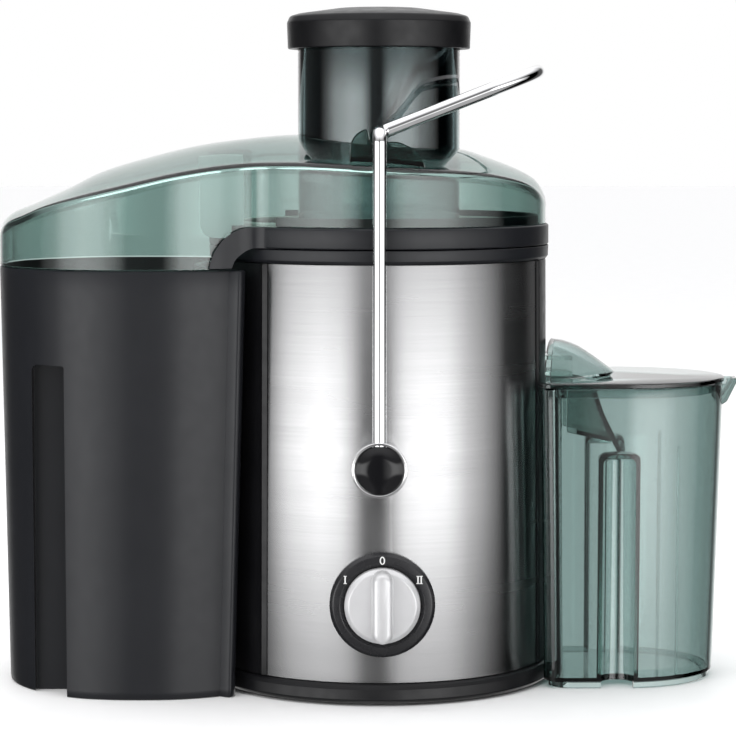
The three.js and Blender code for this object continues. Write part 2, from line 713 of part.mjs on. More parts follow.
function pivotCap() {
  return alongY(
    turned([[0, 92.9], [11.4, 92.9], [11.4, 94.2], [8.4, 96], [0, 96.8]], 24),
    0,
    PIVOT_Z,
  );
}

function pivotPin() {
  return alongY(
    turned([[0, 76], [4, 76], [4, 84.9], [9, 84.9], [9, 86.7], [4, 86.7], [4, 92.5], [0, 92.5]], 20),
    0,
    PIVOT_Z,
  );
}

const toRear = (body) => body.rotate([0, 0, 180]);

// ---------- dial ----------
function dialBezel() {
  const plate = turned([
    [KNOB_R + 0.5, 70], [DIAL_R, 70], [DIAL_R, 86.6], [DIAL_R - 1.2, 87.8], [KNOB_R + 2.4, 88.2],
    [KNOB_R + 0.5, 87.2],
  ]);
  const back = turned([[5.2, 84], [KNOB_R + 1, 84], [KNOB_R + 1, 85.6], [5.2, 85.6]]);
  const placed = alongY(union(plate, back), DIAL_X, DIAL_Z);
  return placed.subtract(turned([[0, 0], [STEEL_R_LOW + 0.45, 0], [STEEL_R_LOW + 0.1, 120], [0, 120]], 40));
}

function dialKnob() {
  const disc = turned([
    [0, 86], [KNOB_R, 86], [KNOB_R, 89.6], [KNOB_R - 1.6, 91.6], [KNOB_R - 5, 92.2], [0, 92.4],
  ]);
  const half = 5.4;
  const reach = 17.4;
  const outline = [];
  for (const [cy, from] of [[reach - half, 0], [-(reach - half), 180]]) {
    for (let i = 0; i <= 6; i++) {
      const [c, s] = polar(half, from + i * 30);
      outline.push([c, cy + s]);
    }
  }
  const grip = raised(outline, 88, 99).intersect(
    turned([[0, 80], [19, 80], [19, 97.4], [16.6, 99.4], [0, 99.6]]),
  );
  const stem = turned([[0, 74], [3.1, 74], [3.1, 87], [0, 87]], 20);
  return alongY(union(disc, grip, stem), DIAL_X, DIAL_Z);
}

// The knob's shaft runs in the neck of the switch, and three terminals stand out behind it.
function rotarySwitch() {
  const bodyBlock = box(DIAL_X - 13, DIAL_X + 13, -71, -56, DIAL_Z - 13, DIAL_Z + 13);
  const neck = alongY(ringOf(3.5, 6.4, 70, 74.5, 24), DIAL_X, DIAL_Z);
  const bore = alongY(discOf(3.5, 66, 80, 24), DIAL_X, DIAL_Z);
  const base = box(DIAL_X - 10, DIAL_X + 10, -57, -52, DIAL_Z - 9, DIAL_Z + 9);
  const blades = [-7, 0, 7].map((x) => box(DIAL_X + x - 2, DIAL_X + x + 2, -53, -45, DIAL_Z - 0.5, DIAL_Z + 0.5));
  return union(bodyBlock, neck, base, ...blades).subtract(bore);
}

// ---------- motor ----------
function motorShaft() {
  return turned([[0, 38], [3.6, 38], [4, 38.4], [4, 184.6], [3.6, 185], [0, 185]], 20);
}

function stator() {
  const frame = ringOf(32, 38, 72, 104, 32);
  const profile = [[21.4, 72], [33, 72], [33, 104], [21.4, 104]];
  return frame.add(swept(profile, 45, 135, 8)).add(swept(profile, 225, 315, 8));
}

function fieldCoil(middle) {
  return swept([[22, 65], [31, 65], [31, 111], [22, 111]], middle - 38, middle + 38, 8);
}

function armature() {
  let core = ringOf(4.2, 20.6, 74, 102, 24);
  for (let i = 0; i < 12; i++) {
    const slot = box(18.4, 22, -0.9, 0.9, 73, 103).rotate([0, 0, i * 30]);
    core = core.subtract(slot);
  }
  return core;
}

const armatureWinding = (z0, z1) => turned([[4.2, z0], [15, z0], [17.4, (z0 + z1) / 2], [15, z1], [4.2, z1]], 20);
const commutator = () => ringOf(4.2, 9.8, 60.8, 68, 20);

function brush(side) {
  return side < 0 ? box(-3, 3, -21, -10.2, 61.4, 67.4) : box(-3, 3, 10.2, 21, 61.4, 67.4);
}

function coolingFan() {
  const hub = ringOf(4.2, 9, 41, 53, 16);
  const disc = ringOf(8, 30, 51.4, 53, 24);
  const blades = Array.from({ length: 8 }, (_, i) => box(8, 29.4, -0.8, 0.8, 42, 52).rotate([0, 0, i * 45]));
  return union(hub, disc, ...blades);
}

function bracket(z) {
  const centre = ringOf(8.5, 16, z, z + 4, 20);
  const arms = box(-47, 47, -7, 7, z, z + 4).subtract(discOf(15.4, z - 1, z + 5, 20));
  const holes = union(...[-43, 43].map((x) => discOf(2.6, z - 1, z + 5, 12).translate([x, 0, 0])));
  return centre.add(arms).subtract(holes);
}

const bearing = (z) => ringOf(4.15, 8.1, z, z + 5, 20);

function motorBolt(x) {
  const bolt = turned([[0, 52], [4, 52], [4, 55.7], [2.1, 55.7], [2.1, DECK_Z - 0.4], [0, DECK_Z - 0.4]], 10);
  return bolt.translate([x, 0, 0]);
}

const shaftSeal = () => turned([[4.4, 171], [8.7, 171], [8.6, 176.4], [6.4, 177.6], [4.4, 177.6]], 20);

// ---------- spinning basket ----------
// A six-lobed outline that drives the basket and lets it lift off.
function lobes(rLow, rHigh) {
  return Array.from({ length: 24 }, (_, i) => {
    const wave = (1 + Math.cos((i * Math.PI) / 2)) / 2;
    return polar(rLow + (rHigh - rLow) * wave, i * 15);
  });
}

function driveCoupling() {
  const body = raised(lobes(9.6, 12.4), 179.2, 189.4).subtract(discOf(4.2, 170, 185.4, 20));
  return body;
}

function basketHub() {
  const body = turned([[0, 180], [20, 180], [30, 186], [36.4, 195.6], [0, 195.6]]);
  return body.subtract(raised(lobes(10.4, 13.2), 170, 190.2));
}

function filterBasket() {
  return turned([
    [2.4, 196], [37, 196], [71.2, 226.2], [70, 226.9], [36.6, 196.9], [2.4, 196.9],
  ]);
}

function filterRim() {
  return turned([[71.6, 223.4], [74, 223.4], [74, 229.4], [69.2, 229.4], [69.2, 227.7], [72.4, 227.7]]);
}

function graterDisc() {
  const disc = ringOf(2.4, 35.2, 197.3, 198.3, 30);
  const teeth = [];
  for (let i = 0; i < 8; i++) {
    for (const r of [18, 29]) {
      teeth.push(box(r - 1.2, r + 1.2, -0.5, 0.5, 198, 199.6).rotate([0, 0, i * 45 + r * 3]));
    }
  }
  return union(disc, ...teeth);
}

const basketNut = () => turned([[0, 199], [6.4, 199], [6.4, 202], [2.6, 204.4], [0, 204.8]], 12)
  .add(discOf(2, 195.9, 199.5, 12));

// ---------- wiring ----------
const interlockSwitch = (side) => side < 0 ? box(-10, 10, -75, -66, 104, 124) : box(-10, 10, 66, 75, 104, 124);
const capacitor = () => box(-52, -30, 30, 42, 14, 32);
const terminalBlock = () => box(6, 34, 46, 60, 6.2, 20);

// ---------- assembly ----------
const juicer = new THREE.Group();
const assembly = new THREE.Group();
assembly.position.set(CENTRE_X, CENTRE_Y, 0);
juicer.add(assembly);

function group(...meshes) {
  const made = new THREE.Group();
  made.add(...meshes);
  assembly.add(made);
}

group(
  part("body_shell", bodyShell(), BLACK),
  part("steel_front", steelFront(), BRUSHED),
  part("steel_rear", steelRear(), BRUSHED),
  part("trim_right", trimRight(), CHARCOAL),
  part("trim_left", trimLeft(), CHARCOAL),
  part("collar", collar(), CHARCOAL),
  part("base_ring", baseRing(), CHARCOAL),
  part("bottom_plate", bottomPlate(), BLACK),
  part("motor_deck", motorDeck(), BLACK),
  part("cord_gland", cordGland(), RUBBER),
);
group(...[45, 135, 225, 315].map((a, i) => part("foot_" + (i + 1), foot(a), RUBBER)));
group(
  part("bowl", bowl(), CHARCOAL),
  part("juice_spout", juiceSpout(), SMOKE),
  part("shaft_seal", shaftSeal(), RUBBER),
  part("lid", lid(), SMOKE),
  part("feed_chute", feedChute(), SMOKE),
);
group(part("pusher_body", pusherBody(), BLACK), part("pusher_cap", pusherCap(), CHARCOAL));
group(part("pulp_container", pulpContainer(), CHARCOAL));
group(
  part("jug", jug(), SMOKE),
  part("jug_lid", jugLid(), SMOKE),
  part("froth_separator", frothSeparator(), SMOKE),
);
group(
  part("locking_arm", lockingArm(), CHROME),
  part("pivot_cap_front", pivotCap(), GLOSS_BLACK),
  part("pivot_cap_rear", toRear(pivotCap()), GLOSS_BLACK),
  part("pivot_pin_front", pivotPin(), STEEL),
  part("pivot_pin_rear", toRear(pivotPin()), STEEL),
);
group(
  part("dial_bezel", dialBezel(), GLOSS_BLACK),
  part("dial_knob", dialKnob(), SILVER),
  part("rotary_switch", rotarySwitch(), BLACK),
);
group(
  part("motor_shaft", motorShaft(), STEEL),
  part("stator", stator(), IRON),
  part("field_coil_right", fieldCoil(0), COPPER),
  part("field_coil_left", fieldCoil(180), COPPER),
  part("armature", armature(), IRON),
  part("winding_upper", armatureWinding(102.3, 110), COPPER),
  part("winding_lower", armatureWinding(68.3, 73.7), COPPER),
  part("commutator", commutator(), COPPER),
  part("brush_front", brush(-1), CARBON),
  part("brush_rear", brush(1), CARBON),
  part("cooling_fan", coolingFan(), WHITE_PLASTIC),
  part("bracket_upper", bracket(113), STEEL),
  part("bracket_lower", bracket(56), STEEL),
  part("bearing_upper", bearing(112.6), STEEL),
  part("bearing_lower", bearing(55.4), STEEL),
  part("motor_bolt_right", motorBolt(43), STEEL),
  part("motor_bolt_left", motorBolt(-43), STEEL),
);
group(
  part("drive_coupling", driveCoupling(), BLACK),
  part("basket_hub", basketHub(), BLACK),
  part("filter_basket", filterBasket(), STEEL),
  part("filter_rim", filterRim(), WHITE_PLASTIC),
  part("grater_disc", graterDisc(), STEEL),
  part("basket_nut", basketNut(), STEEL),
);
group(
  part("interlock_front", interlockSwitch(-1), BLACK),
  part("interlock_rear", interlockSwitch(1), BLACK),
  part("capacitor", capacitor(), WHITE_PLASTIC),
  part("terminal_block", terminalBlock(), WHITE_PLASTIC),
);

export default juicer;
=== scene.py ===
"""Centrifugal juicer: the looks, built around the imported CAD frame.

Shapes are written in millimetres from the motor axis and turned into metres in the frame of the CAD.
"""
import json
import math

import bmesh
import bpy
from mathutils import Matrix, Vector


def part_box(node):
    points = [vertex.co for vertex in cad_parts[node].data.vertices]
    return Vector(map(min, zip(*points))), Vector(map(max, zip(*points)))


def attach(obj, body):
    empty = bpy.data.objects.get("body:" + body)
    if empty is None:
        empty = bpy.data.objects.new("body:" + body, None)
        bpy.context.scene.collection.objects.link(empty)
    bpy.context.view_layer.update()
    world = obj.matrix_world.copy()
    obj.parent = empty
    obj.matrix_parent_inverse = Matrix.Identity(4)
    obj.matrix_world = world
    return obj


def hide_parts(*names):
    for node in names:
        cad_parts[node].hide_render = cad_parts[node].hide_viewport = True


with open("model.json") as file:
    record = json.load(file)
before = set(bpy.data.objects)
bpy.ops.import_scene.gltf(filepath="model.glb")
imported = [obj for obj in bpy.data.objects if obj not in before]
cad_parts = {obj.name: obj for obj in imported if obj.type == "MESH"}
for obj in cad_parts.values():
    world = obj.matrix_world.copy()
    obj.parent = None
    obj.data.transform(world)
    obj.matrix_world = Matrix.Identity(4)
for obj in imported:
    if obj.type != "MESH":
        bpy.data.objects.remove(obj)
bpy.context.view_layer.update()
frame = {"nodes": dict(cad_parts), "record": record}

MM = 0.001
ring_low, ring_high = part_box("base_ring")
AXIS = (ring_low + ring_high) / 2


def span(node):
    """Lowest and highest corner of a CAD node, in millimetres from the motor axis."""
    low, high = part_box(node)
    shift = Vector((AXIS.x, AXIS.y, 0))
    return (low - shift) / MM, (high - shift) / MM


# ---------- camera ----------
CAMERA_AT = (-5.43, -1398.25, 274.9)
CAMERA_PITCH = 4.91
LENS = 136.28

camera_data = bpy.data.cameras.new("camera")
camera_data.lens = LENS
camera_data.sensor_width = 36
camera_data.clip_start = 0.05
camera_data.clip_end = 60
camera = bpy.data.objects.new("camera", camera_data)
camera.location = (CAMERA_AT[0] * MM + AXIS.x, CAMERA_AT[1] * MM + AXIS.y, CAMERA_AT[2] * MM)
camera.rotation_euler = (math.radians(90 - CAMERA_PITCH), 0, 0)
bpy.context.scene.collection.objects.link(camera)
bpy.context.scene.camera = camera

# ---------- dimensions read from the frame ----------
BASE_R = span("base_ring")[1].x
BASE_TOP = span("base_ring")[1].z
STEEL_LOW = span("steel_front")[0].z
STEEL_HIGH = span("steel_front")[1].z
STEEL_R_LOW = -span("steel_front")[0].y
STEEL_R_HIGH = STEEL_R_LOW - 1.4
COLLAR_LOW = span("collar")[0].z
COLLAR_HIGH = span("collar")[1].z
COLLAR_R = span("collar")[1].x
BAND_R = span("bowl")[1].y
LIP_TOP = span("bowl")[1].z
BOWL_FLOOR = span("bowl")[0].z
GAP = 0.4
BAND_LOW = COLLAR_HIGH + 0.5
BAND_HIGH = BAND_LOW + 10
LIP_R = 79.6
LID_LEFT = span("lid")[0].x
LID_LOW = span("lid")[0].z
CHUTE_TOP = span("feed_chute")[1].z
LID_R = 83.6
LID_WALL = 2.2
CHUTE_R = 40.4
CHUTE_WALL = 2.4
CHUTE_LOW = span("feed_chute")[0].z
PUSHER_R = span("pusher_body")[1].x
PUSHER_LOW = span("pusher_body")[0].z
CAP_R = span("pusher_cap")[1].x
CAP_LOW = span("pusher_cap")[0].z
CAP_TOP = span("pusher_cap")[1].z
BIN_TOP = span("pulp_container")[1].z
BIN_WALL = 2.4
BIN_GRIP = (-168.5, -151.4, 161.3, 45)
JUG_TOP = span("jug")[1].z
JUG_WALL = 2.2
JUG_BODY_R = 90
JUG_GRIP_X = 117.4
JUG_GRIP_R = 8
JUG_GRIP_Y = 42
JUG_GRIP_TOP = 114.5
SPOUT_END = span("juice_spout")[1].x
OUTLET_TOP = span("juice_spout")[1].z
OUTLET_HALF = span("juice_spout")[1].y
SPOUT_TOP = OUTLET_TOP - 6
SPOUT_HALF = 10
SPOUT_WALL = 2
BOWL_WALL = 2.5
# Heights of the arm's pivots and middle of the dial.
PIVOT_Z = sum(corner.z for corner in span("pivot_cap_front")) / 2
DIAL_X = sum(corner.x for corner in span("dial_bezel")) / 2
DIAL_Z = sum(corner.z for corner in span("dial_bezel")) / 2
DIAL_R = (span("dial_bezel")[1].x - span("dial_bezel")[0].x) / 2
KNOB_R = (span("dial_knob")[1].x - span("dial_knob")[0].x) / 2
ROD_R = 3.3
LEG_Y = 91
HANDLE_Y = 79
ELBOW_Z = 272.8
BAR_X = span("locking_arm")[1].x - ROD_R
BAR_Z = span("locking_arm")[1].z - ROD_R


# ---------- outline tools ----------
def polar(r, degrees):
    turn = math.radians(degrees)
    return r * math.cos(turn), r * math.sin(turn)


def curve(points):
    """A smooth curve of value against position through a few control points."""
    xs = [p[0] for p in points]
    ys = [p[1] for p in points]
    last = len(xs) - 1
    slopes = []
    for i in range(last + 1):
        a, b = max(0, i - 1), min(last, i + 1)
        slopes.append((ys[b] - ys[a]) / (xs[b] - xs[a]))

    def at(x):
        x = min(max(x, xs[0]), xs[-1])
        i = next(k for k in range(last) if x <= xs[k + 1])
        wide = xs[i + 1] - xs[i]
        t = (x - xs[i]) / wide
        return (
            ys[i] * (2 * t**3 - 3 * t**2 + 1)
            + ys[i + 1] * (3 * t**2 - 2 * t**3)
            + slopes[i] * wide * (t**3 - 2 * t**2 + t)
            + slopes[i + 1] * wide * (t**3 - t**2)
        )

    return at


def spread(low, high, count):
    return [low + (high - low) * i / (count - 1) for i in range(count)]


def rounded(points, radius, steps=5, closed=True):
    """A flat outline with round corners. A point's third number is a radius of its own."""
    made = []
    count = len(points)
    for i, point in enumerate(points):
        here = Vector(point[:2])
        r = point[2] if len(point) > 2 else radius
        if r <= 0 or (not closed and i in (0, count - 1)):
            made.append(tuple(here))
            continue
        back = Vector(points[i - 1][:2]) - here
        on = Vector(points[(i + 1) % count][:2]) - here
        half = back.angle(on) / 2
        if half > math.pi / 2 - 0.03:
            made.append(tuple(here))
            continue
        reach = min(r / math.tan(half), 0.48 * min(back.length, on.length))
        r = reach * math.tan(half)
        middle = (back.normalized() + on.normalized()).normalized()
        centre = here + middle * (r / math.sin(half))
        first = here + back.normalized() * reach - centre
        turn = math.pi - 2 * half
        if first.x * (-middle.y) - first.y * (-middle.x) < 0:
            turn = -turn
        for k in range(steps + 1):
            a = turn * k / steps
            c, s = math.cos(a), math.sin(a)
            made.append((centre.x + c * first.x - s * first.y, centre.y + s * first.x + c * first.y))
    return made


# ---------- mesh tools ----------
def finished(obj, sharp=32):
    """Smooth shading with hard edges where the surface turns sharply."""
    mesh = obj.data
    mesh.polygons.foreach_set("use_smooth", [True] * len(mesh.polygons))
    mesh.set_sharp_from_angle(angle=math.radians(sharp))
    return obj


def build(name, points, faces, sharp=32):
    mesh = bpy.data.meshes.new(name)
    mesh.from_pydata([(x * MM + AXIS.x, y * MM + AXIS.y, z * MM) for x, y, z in points], [], faces)
    work = bmesh.new()
    work.from_mesh(mesh)
    bmesh.ops.remove_doubles(work, verts=work.verts, dist=1e-6)
    bmesh.ops.dissolve_degenerate(work, dist=1e-7, edges=work.edges)
    bmesh.ops.recalc_face_normals(work, faces=work.faces)
    work.to_mesh(mesh)
    work.free()
    obj = bpy.data.objects.new(name, mesh)
    bpy.context.scene.collection.objects.link(obj)
    return finished(obj, sharp)


def skin(rings, closed=False):
    """Faces between rings with equal counts of points, with flat ends unless the row closes on itself."""
    count = len(rings[0])
    points = [p for ring in rings for p in ring]
    faces = []
    rows = len(rings)
    for i in range(rows if closed else rows - 1):
        for j in range(count):
            a, b = i * count + j, i * count + (j + 1) % count
            c, d = ((i + 1) % rows) * count + (j + 1) % count, ((i + 1) % rows) * count + j
            faces.append((a, b, c, d))
    if not closed:
        faces.append(tuple(range(count))[::-1])
        faces.append(tuple(range((rows - 1) * count, rows * count)))
    return points, faces


def loft(name, rings, sharp=32):
    return build(name, *skin(rings), sharp)


def lathe(name, profile, sides=144, move=None, sharp=32):
    """A profile of (r, z) turned about the Z axis. A profile that stays off the axis closes on itself."""
    move = move or (lambda p: p)
    ring = all(r > 1e-6 for r, _ in profile)
    count = len(profile)
    points = []
    for i in range(sides):
        c, s = polar(1, 360 * i / sides)
        points += [move((r * c, r * s, z)) for r, z in profile]
    faces = []
    for i in range(sides):
        n = (i + 1) % sides
        for j in range(count if ring else count - 1):
            k = (j + 1) % count
            faces.append((i * count + j, n * count + j, n * count + k, i * count + k))
    return build(name, points, faces, sharp)


def to_front(x=0, z=0):
    """Turns a shape made about Z so that its axis points to the user."""
    return lambda p: (x + p[0], -p[2], z + p[1])


def to_rear(x=0, z=0):
    return lambda p: (-x - p[0], p[2], z + p[1])


def upright(name, outline, y0, y1, edge=0.0, sharp=32):
    """An outline drawn in X and Z, with depth from y0 to y1 and its edges eased."""
    if edge <= 0:
        rings = [[(x, y, z) for x, z in outline] for y in (y0, y1)]
        return loft(name, rings, sharp)
    inner = inset(outline, edge)
    rings = []
    for k in range(4):
        s, c = math.sin(math.pi / 6 * k), math.cos(math.pi / 6 * k)
        mixed = [(a[0] * (1 - c) + b[0] * c, a[1] * (1 - c) + b[1] * c) for a, b in zip(outline, inner)]
        rings.append([(x, y0 + edge * (1 - s), z) for x, z in mixed])
    rings += [[(x, y0 + y1 - y, z) for x, y, z in ring] for ring in reversed(rings)]
    return loft(name, rings, sharp)


def inset(outline, distance):
    """The outline moved inwards along its normals."""
    count = len(outline)
    area = sum(outline[i - 1][0] * outline[i][1] - outline[i][0] * outline[i - 1][1] for i in range(count))
    way = 1 if area > 0 else -1
    made = []
    for i, (x, y) in enumerate(outline):
        a = Vector(outline[i]) - Vector(outline[i - 1])
        b = Vector(outline[(i + 1) % count]) - Vector(outline[i])
        a = a.normalized() if a.length > 1e-9 else b.normalized()
        b = b.normalized() if b.length > 1e-9 else a
        n = Vector((-(a.y + b.y), a.x + b.x))
        n = n.normalized() if n.length > 1e-9 else Vector((0, 0))
        scale = 1 / max(0.5, math.sqrt(max(0, (1 + a.dot(b)) / 2)))
        made.append((x + way * n.x * distance * scale, y + way * n.y * distance * scale))
    return made


def block(name, x0, x1, y0, y1, z0, z1):
    rings = [[(x0, y0, z), (x1, y0, z), (x1, y1, z), (x0, y1, z)] for z in (z0, z1)]
    return loft(name, rings)


def boolean(target, tool, how, sharp=32):
    change = target.modifiers.new("change", "BOOLEAN")
    change.operation = how
    change.solver = "EXACT"
    change.object = tool
    bpy.context.view_layer.update()
    graph = bpy.context.evaluated_depsgraph_get()
    mesh = bpy.data.meshes.new_from_object(target.evaluated_get(graph))
    target.modifiers.clear()
    target.data = mesh
    bpy.data.objects.remove(tool)
    work = bmesh.new()
    work.from_mesh(mesh)
    bmesh.ops.remove_doubles(work, verts=work.verts, dist=2e-6)
    bmesh.ops.dissolve_degenerate(work, dist=1e-7, edges=work.edges)
    work.to_mesh(mesh)
    work.free()
    return finished(target, sharp)


def cut(target, *tools):
    for tool in tools:
        boolean(target, tool, "DIFFERENCE")
    return target


def join(target, *tools):
    for tool in tools:
        boolean(target, tool, "UNION")
    return target


# ---------- materials ----------
def set_up(node, values):
    """Sets constants on a node's inputs by name."""
    for name, value in values.items():
        node.inputs[name].default_value = value
    return node


MATERIALS = {}


def start_material(name):
    """An empty material, kept under its name, with its shader and output."""
    made = bpy.data.materials.new(name)
    MATERIALS[name] = made
    made.use_nodes = True
    tree = made.node_tree
    tree.nodes.clear()
    out = tree.nodes.new("ShaderNodeOutputMaterial")
    shader = tree.nodes.new("ShaderNodeBsdfPrincipled")
    tree.links.new(shader.outputs["BSDF"], out.inputs["Surface"])
    return made, tree, shader, out


def noise(tree, scale, detail=3.0, stretch=(1, 1, 1)):
    where = tree.nodes.new("ShaderNodeTexCoord")
    mapping = set_up(tree.nodes.new("ShaderNodeMapping"), {"Scale": stretch})
    texture = set_up(tree.nodes.new("ShaderNodeTexNoise"), {"Scale": scale, "Detail": detail})
    tree.links.new(where.outputs["Object"], mapping.inputs["Vector"])
    tree.links.new(mapping.outputs["Vector"], texture.inputs["Vector"])
    return texture.outputs["Fac"]


def remap(tree, value, low, high):
    node = tree.nodes.new("ShaderNodeMapRange")
    set_up(node, {"From Min": 0.3, "From Max": 0.7, "To Min": low, "To Max": high})
    tree.links.new(value, node.inputs["Value"])
    return node.outputs["Result"]


def blend_colour(tree, value, first, second, low=0.3, high=0.7):
    ramp = tree.nodes.new("ShaderNodeValToRGB")
    row = ramp.color_ramp.elements
    row[0].position, row[1].position = low, high
    row[0].color, row[1].color = (*first, 1), (*second, 1)
    tree.links.new(value, ramp.inputs["Fac"])
    return ramp.outputs["Color"]


def add_bump(tree, shader, height, strength, distance):
    node = set_up(tree.nodes.new("ShaderNodeBump"), {"Strength": strength, "Distance": distance})
    tree.links.new(height, node.inputs["Height"])
    tree.links.new(node.outputs["Normal"], shader.inputs["Normal"])


def moulded(name, first, second, rough, grain=1500.0, strength=0.12, metal=0.0, coat=0.0, shine=0.5):
    """Moulded plastic, rubber or enamel: cloudy colour, uneven gloss and a fine grain."""
    made, tree, shader, _ = start_material(name)
    tree.links.new(blend_colour(tree, noise(tree, 38.0), first, second), shader.inputs["Base Color"])
    tree.links.new(remap(tree, noise(tree, 160.0, 2.0), rough[0], rough[1]), shader.inputs["Roughness"])
    set_up(shader, {"Metallic": metal, "Specular IOR Level": shine})
    set_up(shader, {"Coat Weight": coat, "Coat Roughness": 0.06})
    add_bump(tree, shader, noise(tree, grain, 2.0), strength, 0.00006)
    return made


def machined(name, first, second, rough, stretch=(1, 1, 60), scale=40.0, strength=0.1):
    """Turned or drawn metal with fine lines along one direction."""
    made, tree, shader, _ = start_material(name)
    lines = noise(tree, scale, 4.0, stretch)
    tree.links.new(blend_colour(tree, lines, first, second), shader.inputs["Base Color"])
    tree.links.new(remap(tree, lines, rough[0], rough[1]), shader.inputs["Roughness"])
    shader.inputs["Metallic"].default_value = 1.0
    add_bump(tree, shader, lines, strength, 0.00005)
    return made


def brushed_wrap(name):
    """Stainless sheet brushed round the base: streaks along the sheet and a highlight stretched upwards."""
    made, tree, shader, _ = start_material(name)
    fine = noise(tree, 14.0, 4.0, (1, 1, 150))
    broad = noise(tree, 9.0, 3.0, (1, 1, 12))
    colour = blend_colour(tree, fine, (0.495, 0.495, 0.501), (0.525, 0.525, 0.531))
    tree.links.new(colour, shader.inputs["Base Color"])
    tree.links.new(remap(tree, broad, 0.25, 0.28), shader.inputs["Roughness"])
    set_up(shader, {"Metallic": 1.0, "Anisotropic": 0.95, "Anisotropic Rotation": 0.25})
    tangent = tree.nodes.new("ShaderNodeTangent")
    tangent.direction_type = "UV_MAP"
    tangent.uv_map = "wrap"
    tree.links.new(tangent.outputs["Tangent"], shader.inputs["Tangent"])
    add_bump(tree, shader, fine, 0.03, 0.00002)
    return made


def tinted(name, colour, absorb, density, rough=0.015, ior=1.57, shine=0.5):
    """Clear tinted plastic: light from the lamps and light scattered inside pass straight through it."""
    made, tree, shader, out = start_material(name)
    link = tree.links.new
    set_up(shader, {"Base Color": (*colour, 1), "Transmission Weight": 1.0})
    set_up(shader, {"IOR": ior, "Specular IOR Level": shine})
    link(remap(tree, noise(tree, 60.0, 2.0), rough * 0.6, rough * 1.6), shader.inputs["Roughness"])
    paler = (*[math.sqrt(c) for c in colour], 1)
    clear = set_up(tree.nodes.new("ShaderNodeBsdfTransparent"), {"Color": paler})
    path = tree.nodes.new("ShaderNodeLightPath")
    either = tree.nodes.new("ShaderNodeMath")
    either.operation = "MAXIMUM"
    mix = tree.nodes.new("ShaderNodeMixShader")
    link(path.outputs["Is Shadow Ray"], either.inputs[0])
    link(path.outputs["Is Diffuse Ray"], either.inputs[1])
    link(either.outputs[0], mix.inputs[0])
    link(shader.outputs["BSDF"], mix.inputs[1])
    link(clear.outputs["BSDF"], mix.inputs[2])
    link(mix.outputs["Shader"], out.inputs["Surface"])
    volume = tree.nodes.new("ShaderNodeVolumeAbsorption")
    set_up(volume, {"Color": (*absorb, 1), "Density": density})
    link(volume.outputs["Volume"], out.inputs["Volume"])
    add_bump(tree, shader, noise(tree, 16.0, 1.0), 0.008, 0.0002)
    return made


def sieve_sheet(name):
    """Stainless sheet with rows of fine holes."""
    made, tree, shader, _ = start_material(name)
    where = tree.nodes.new("ShaderNodeTexCoord")
    cells = set_up(tree.nodes.new("ShaderNodeTexVoronoi"), {"Scale": 620.0, "Randomness": 0.12})
    tree.links.new(where.outputs["Object"], cells.inputs["Vector"])
    colour = blend_colour(tree, cells.outputs["Distance"], (0.02, 0.02, 0.02), (0.62, 0.62, 0.63), 0.2, 0.32)
    tree.links.new(colour, shader.inputs["Base Color"])
    tree.links.new(remap(tree, noise(tree, 300.0), 0.25, 0.38), shader.inputs["Roughness"])
    shader.inputs["Metallic"].default_value = 1.0
    add_bump(tree, shader, cells.outputs["Distance"], 0.4, 0.0002)
    return made


# One material for each slot of the record.
moulded("charcoal_plastic", (0.0095, 0.0103, 0.0128), (0.011, 0.0118, 0.0145), (0.33, 0.37), shine=0.34)
BLACK = moulded("black_plastic", (0.005, 0.005, 0.006), (0.008, 0.008, 0.009), (0.3, 0.4), shine=0.3)
moulded("gloss_black", (0.004, 0.004, 0.005), (0.006, 0.006, 0.007), (0.05, 0.09), 900, 0.01, shine=0.35)
tinted("smoked_clear", (0.575, 0.68, 0.66), (0.16, 0.37, 0.32), 150.0, rough=0.004, shine=0.9)
brushed_wrap("brushed_steel")
machined("chrome", (0.8, 0.8, 0.81), (0.9, 0.9, 0.91), (0.03, 0.07), (1, 1, 1), 60.0, 0.01)
moulded("silver_satin", (0.6, 0.6, 0.61), (0.68, 0.68, 0.69), (0.3, 0.38), 1700, 0.1, metal=0.35)
machined("plain_steel", (0.42, 0.42, 0.43), (0.56, 0.56, 0.57), (0.25, 0.4))
sieve_sheet("sieve_steel")
machined("copper", (0.5, 0.2, 0.09), (0.66, 0.32, 0.16), (0.3, 0.45), (1, 1, 40), 60.0, 0.3)
machined("motor_iron", (0.16, 0.16, 0.17), (0.26, 0.26, 0.27), (0.45, 0.6), (1, 1, 90), 60.0, 0.4)
moulded("rubber", (0.012, 0.012, 0.012), (0.02, 0.02, 0.02), (0.7, 0.85), 900, 0.3)
moulded("pale_plastic", (0.62, 0.6, 0.56), (0.7, 0.69, 0.65), (0.4, 0.5))
moulded("carbon", (0.02, 0.02, 0.02), (0.04, 0.04, 0.04), (0.6, 0.75), 2200, 0.4)

# Materials of pieces that look different from the rest of their slot.
JUG_CLEAR = tinted("jug_clear", (0.6, 0.69, 0.68), (0.2, 0.38, 0.35), 110.0, rough=0.006, shine=0.8)
CHUTE_CLEAR = tinted("chute_clear", (0.64, 0.715, 0.725), (0.17, 0.36, 0.35), 130.0, rough=0.006)
SPOUT_CLEAR = tinted("spout_clear", (0.95, 0.965, 0.96), (0.4, 0.6, 0.55), 40.0, rough=0.004, ior=1.1)
# Painted highlight: a pale opaque colour for the front guide panel stands in for the reflection seen in the
# lid wall there. The panel is real, its paleness is painted light.
GUIDE_PAINTED_HIGHLIGHT = moulded("guide_painted_highlight", (0.76, 0.82, 0.81), (0.82, 0.87, 0.86), (0.3, 0.36), 700, 0.02)
DIAL_BLACK = moulded("dial_black", (0.011, 0.011, 0.013), (0.014, 0.014, 0.016), (0.24, 0.3), 1500, 0.05)
PUSHER_BLACK = moulded(
    "pusher_black", (0.003, 0.004, 0.005), (0.005, 0.006, 0.007), (0.05, 0.08), 900, 0.01, coat=1.0,
)
FROTH_CLEAR = tinted("froth_clear", (0.6, 0.68, 0.66), (0.16, 0.3, 0.27), 260.0)
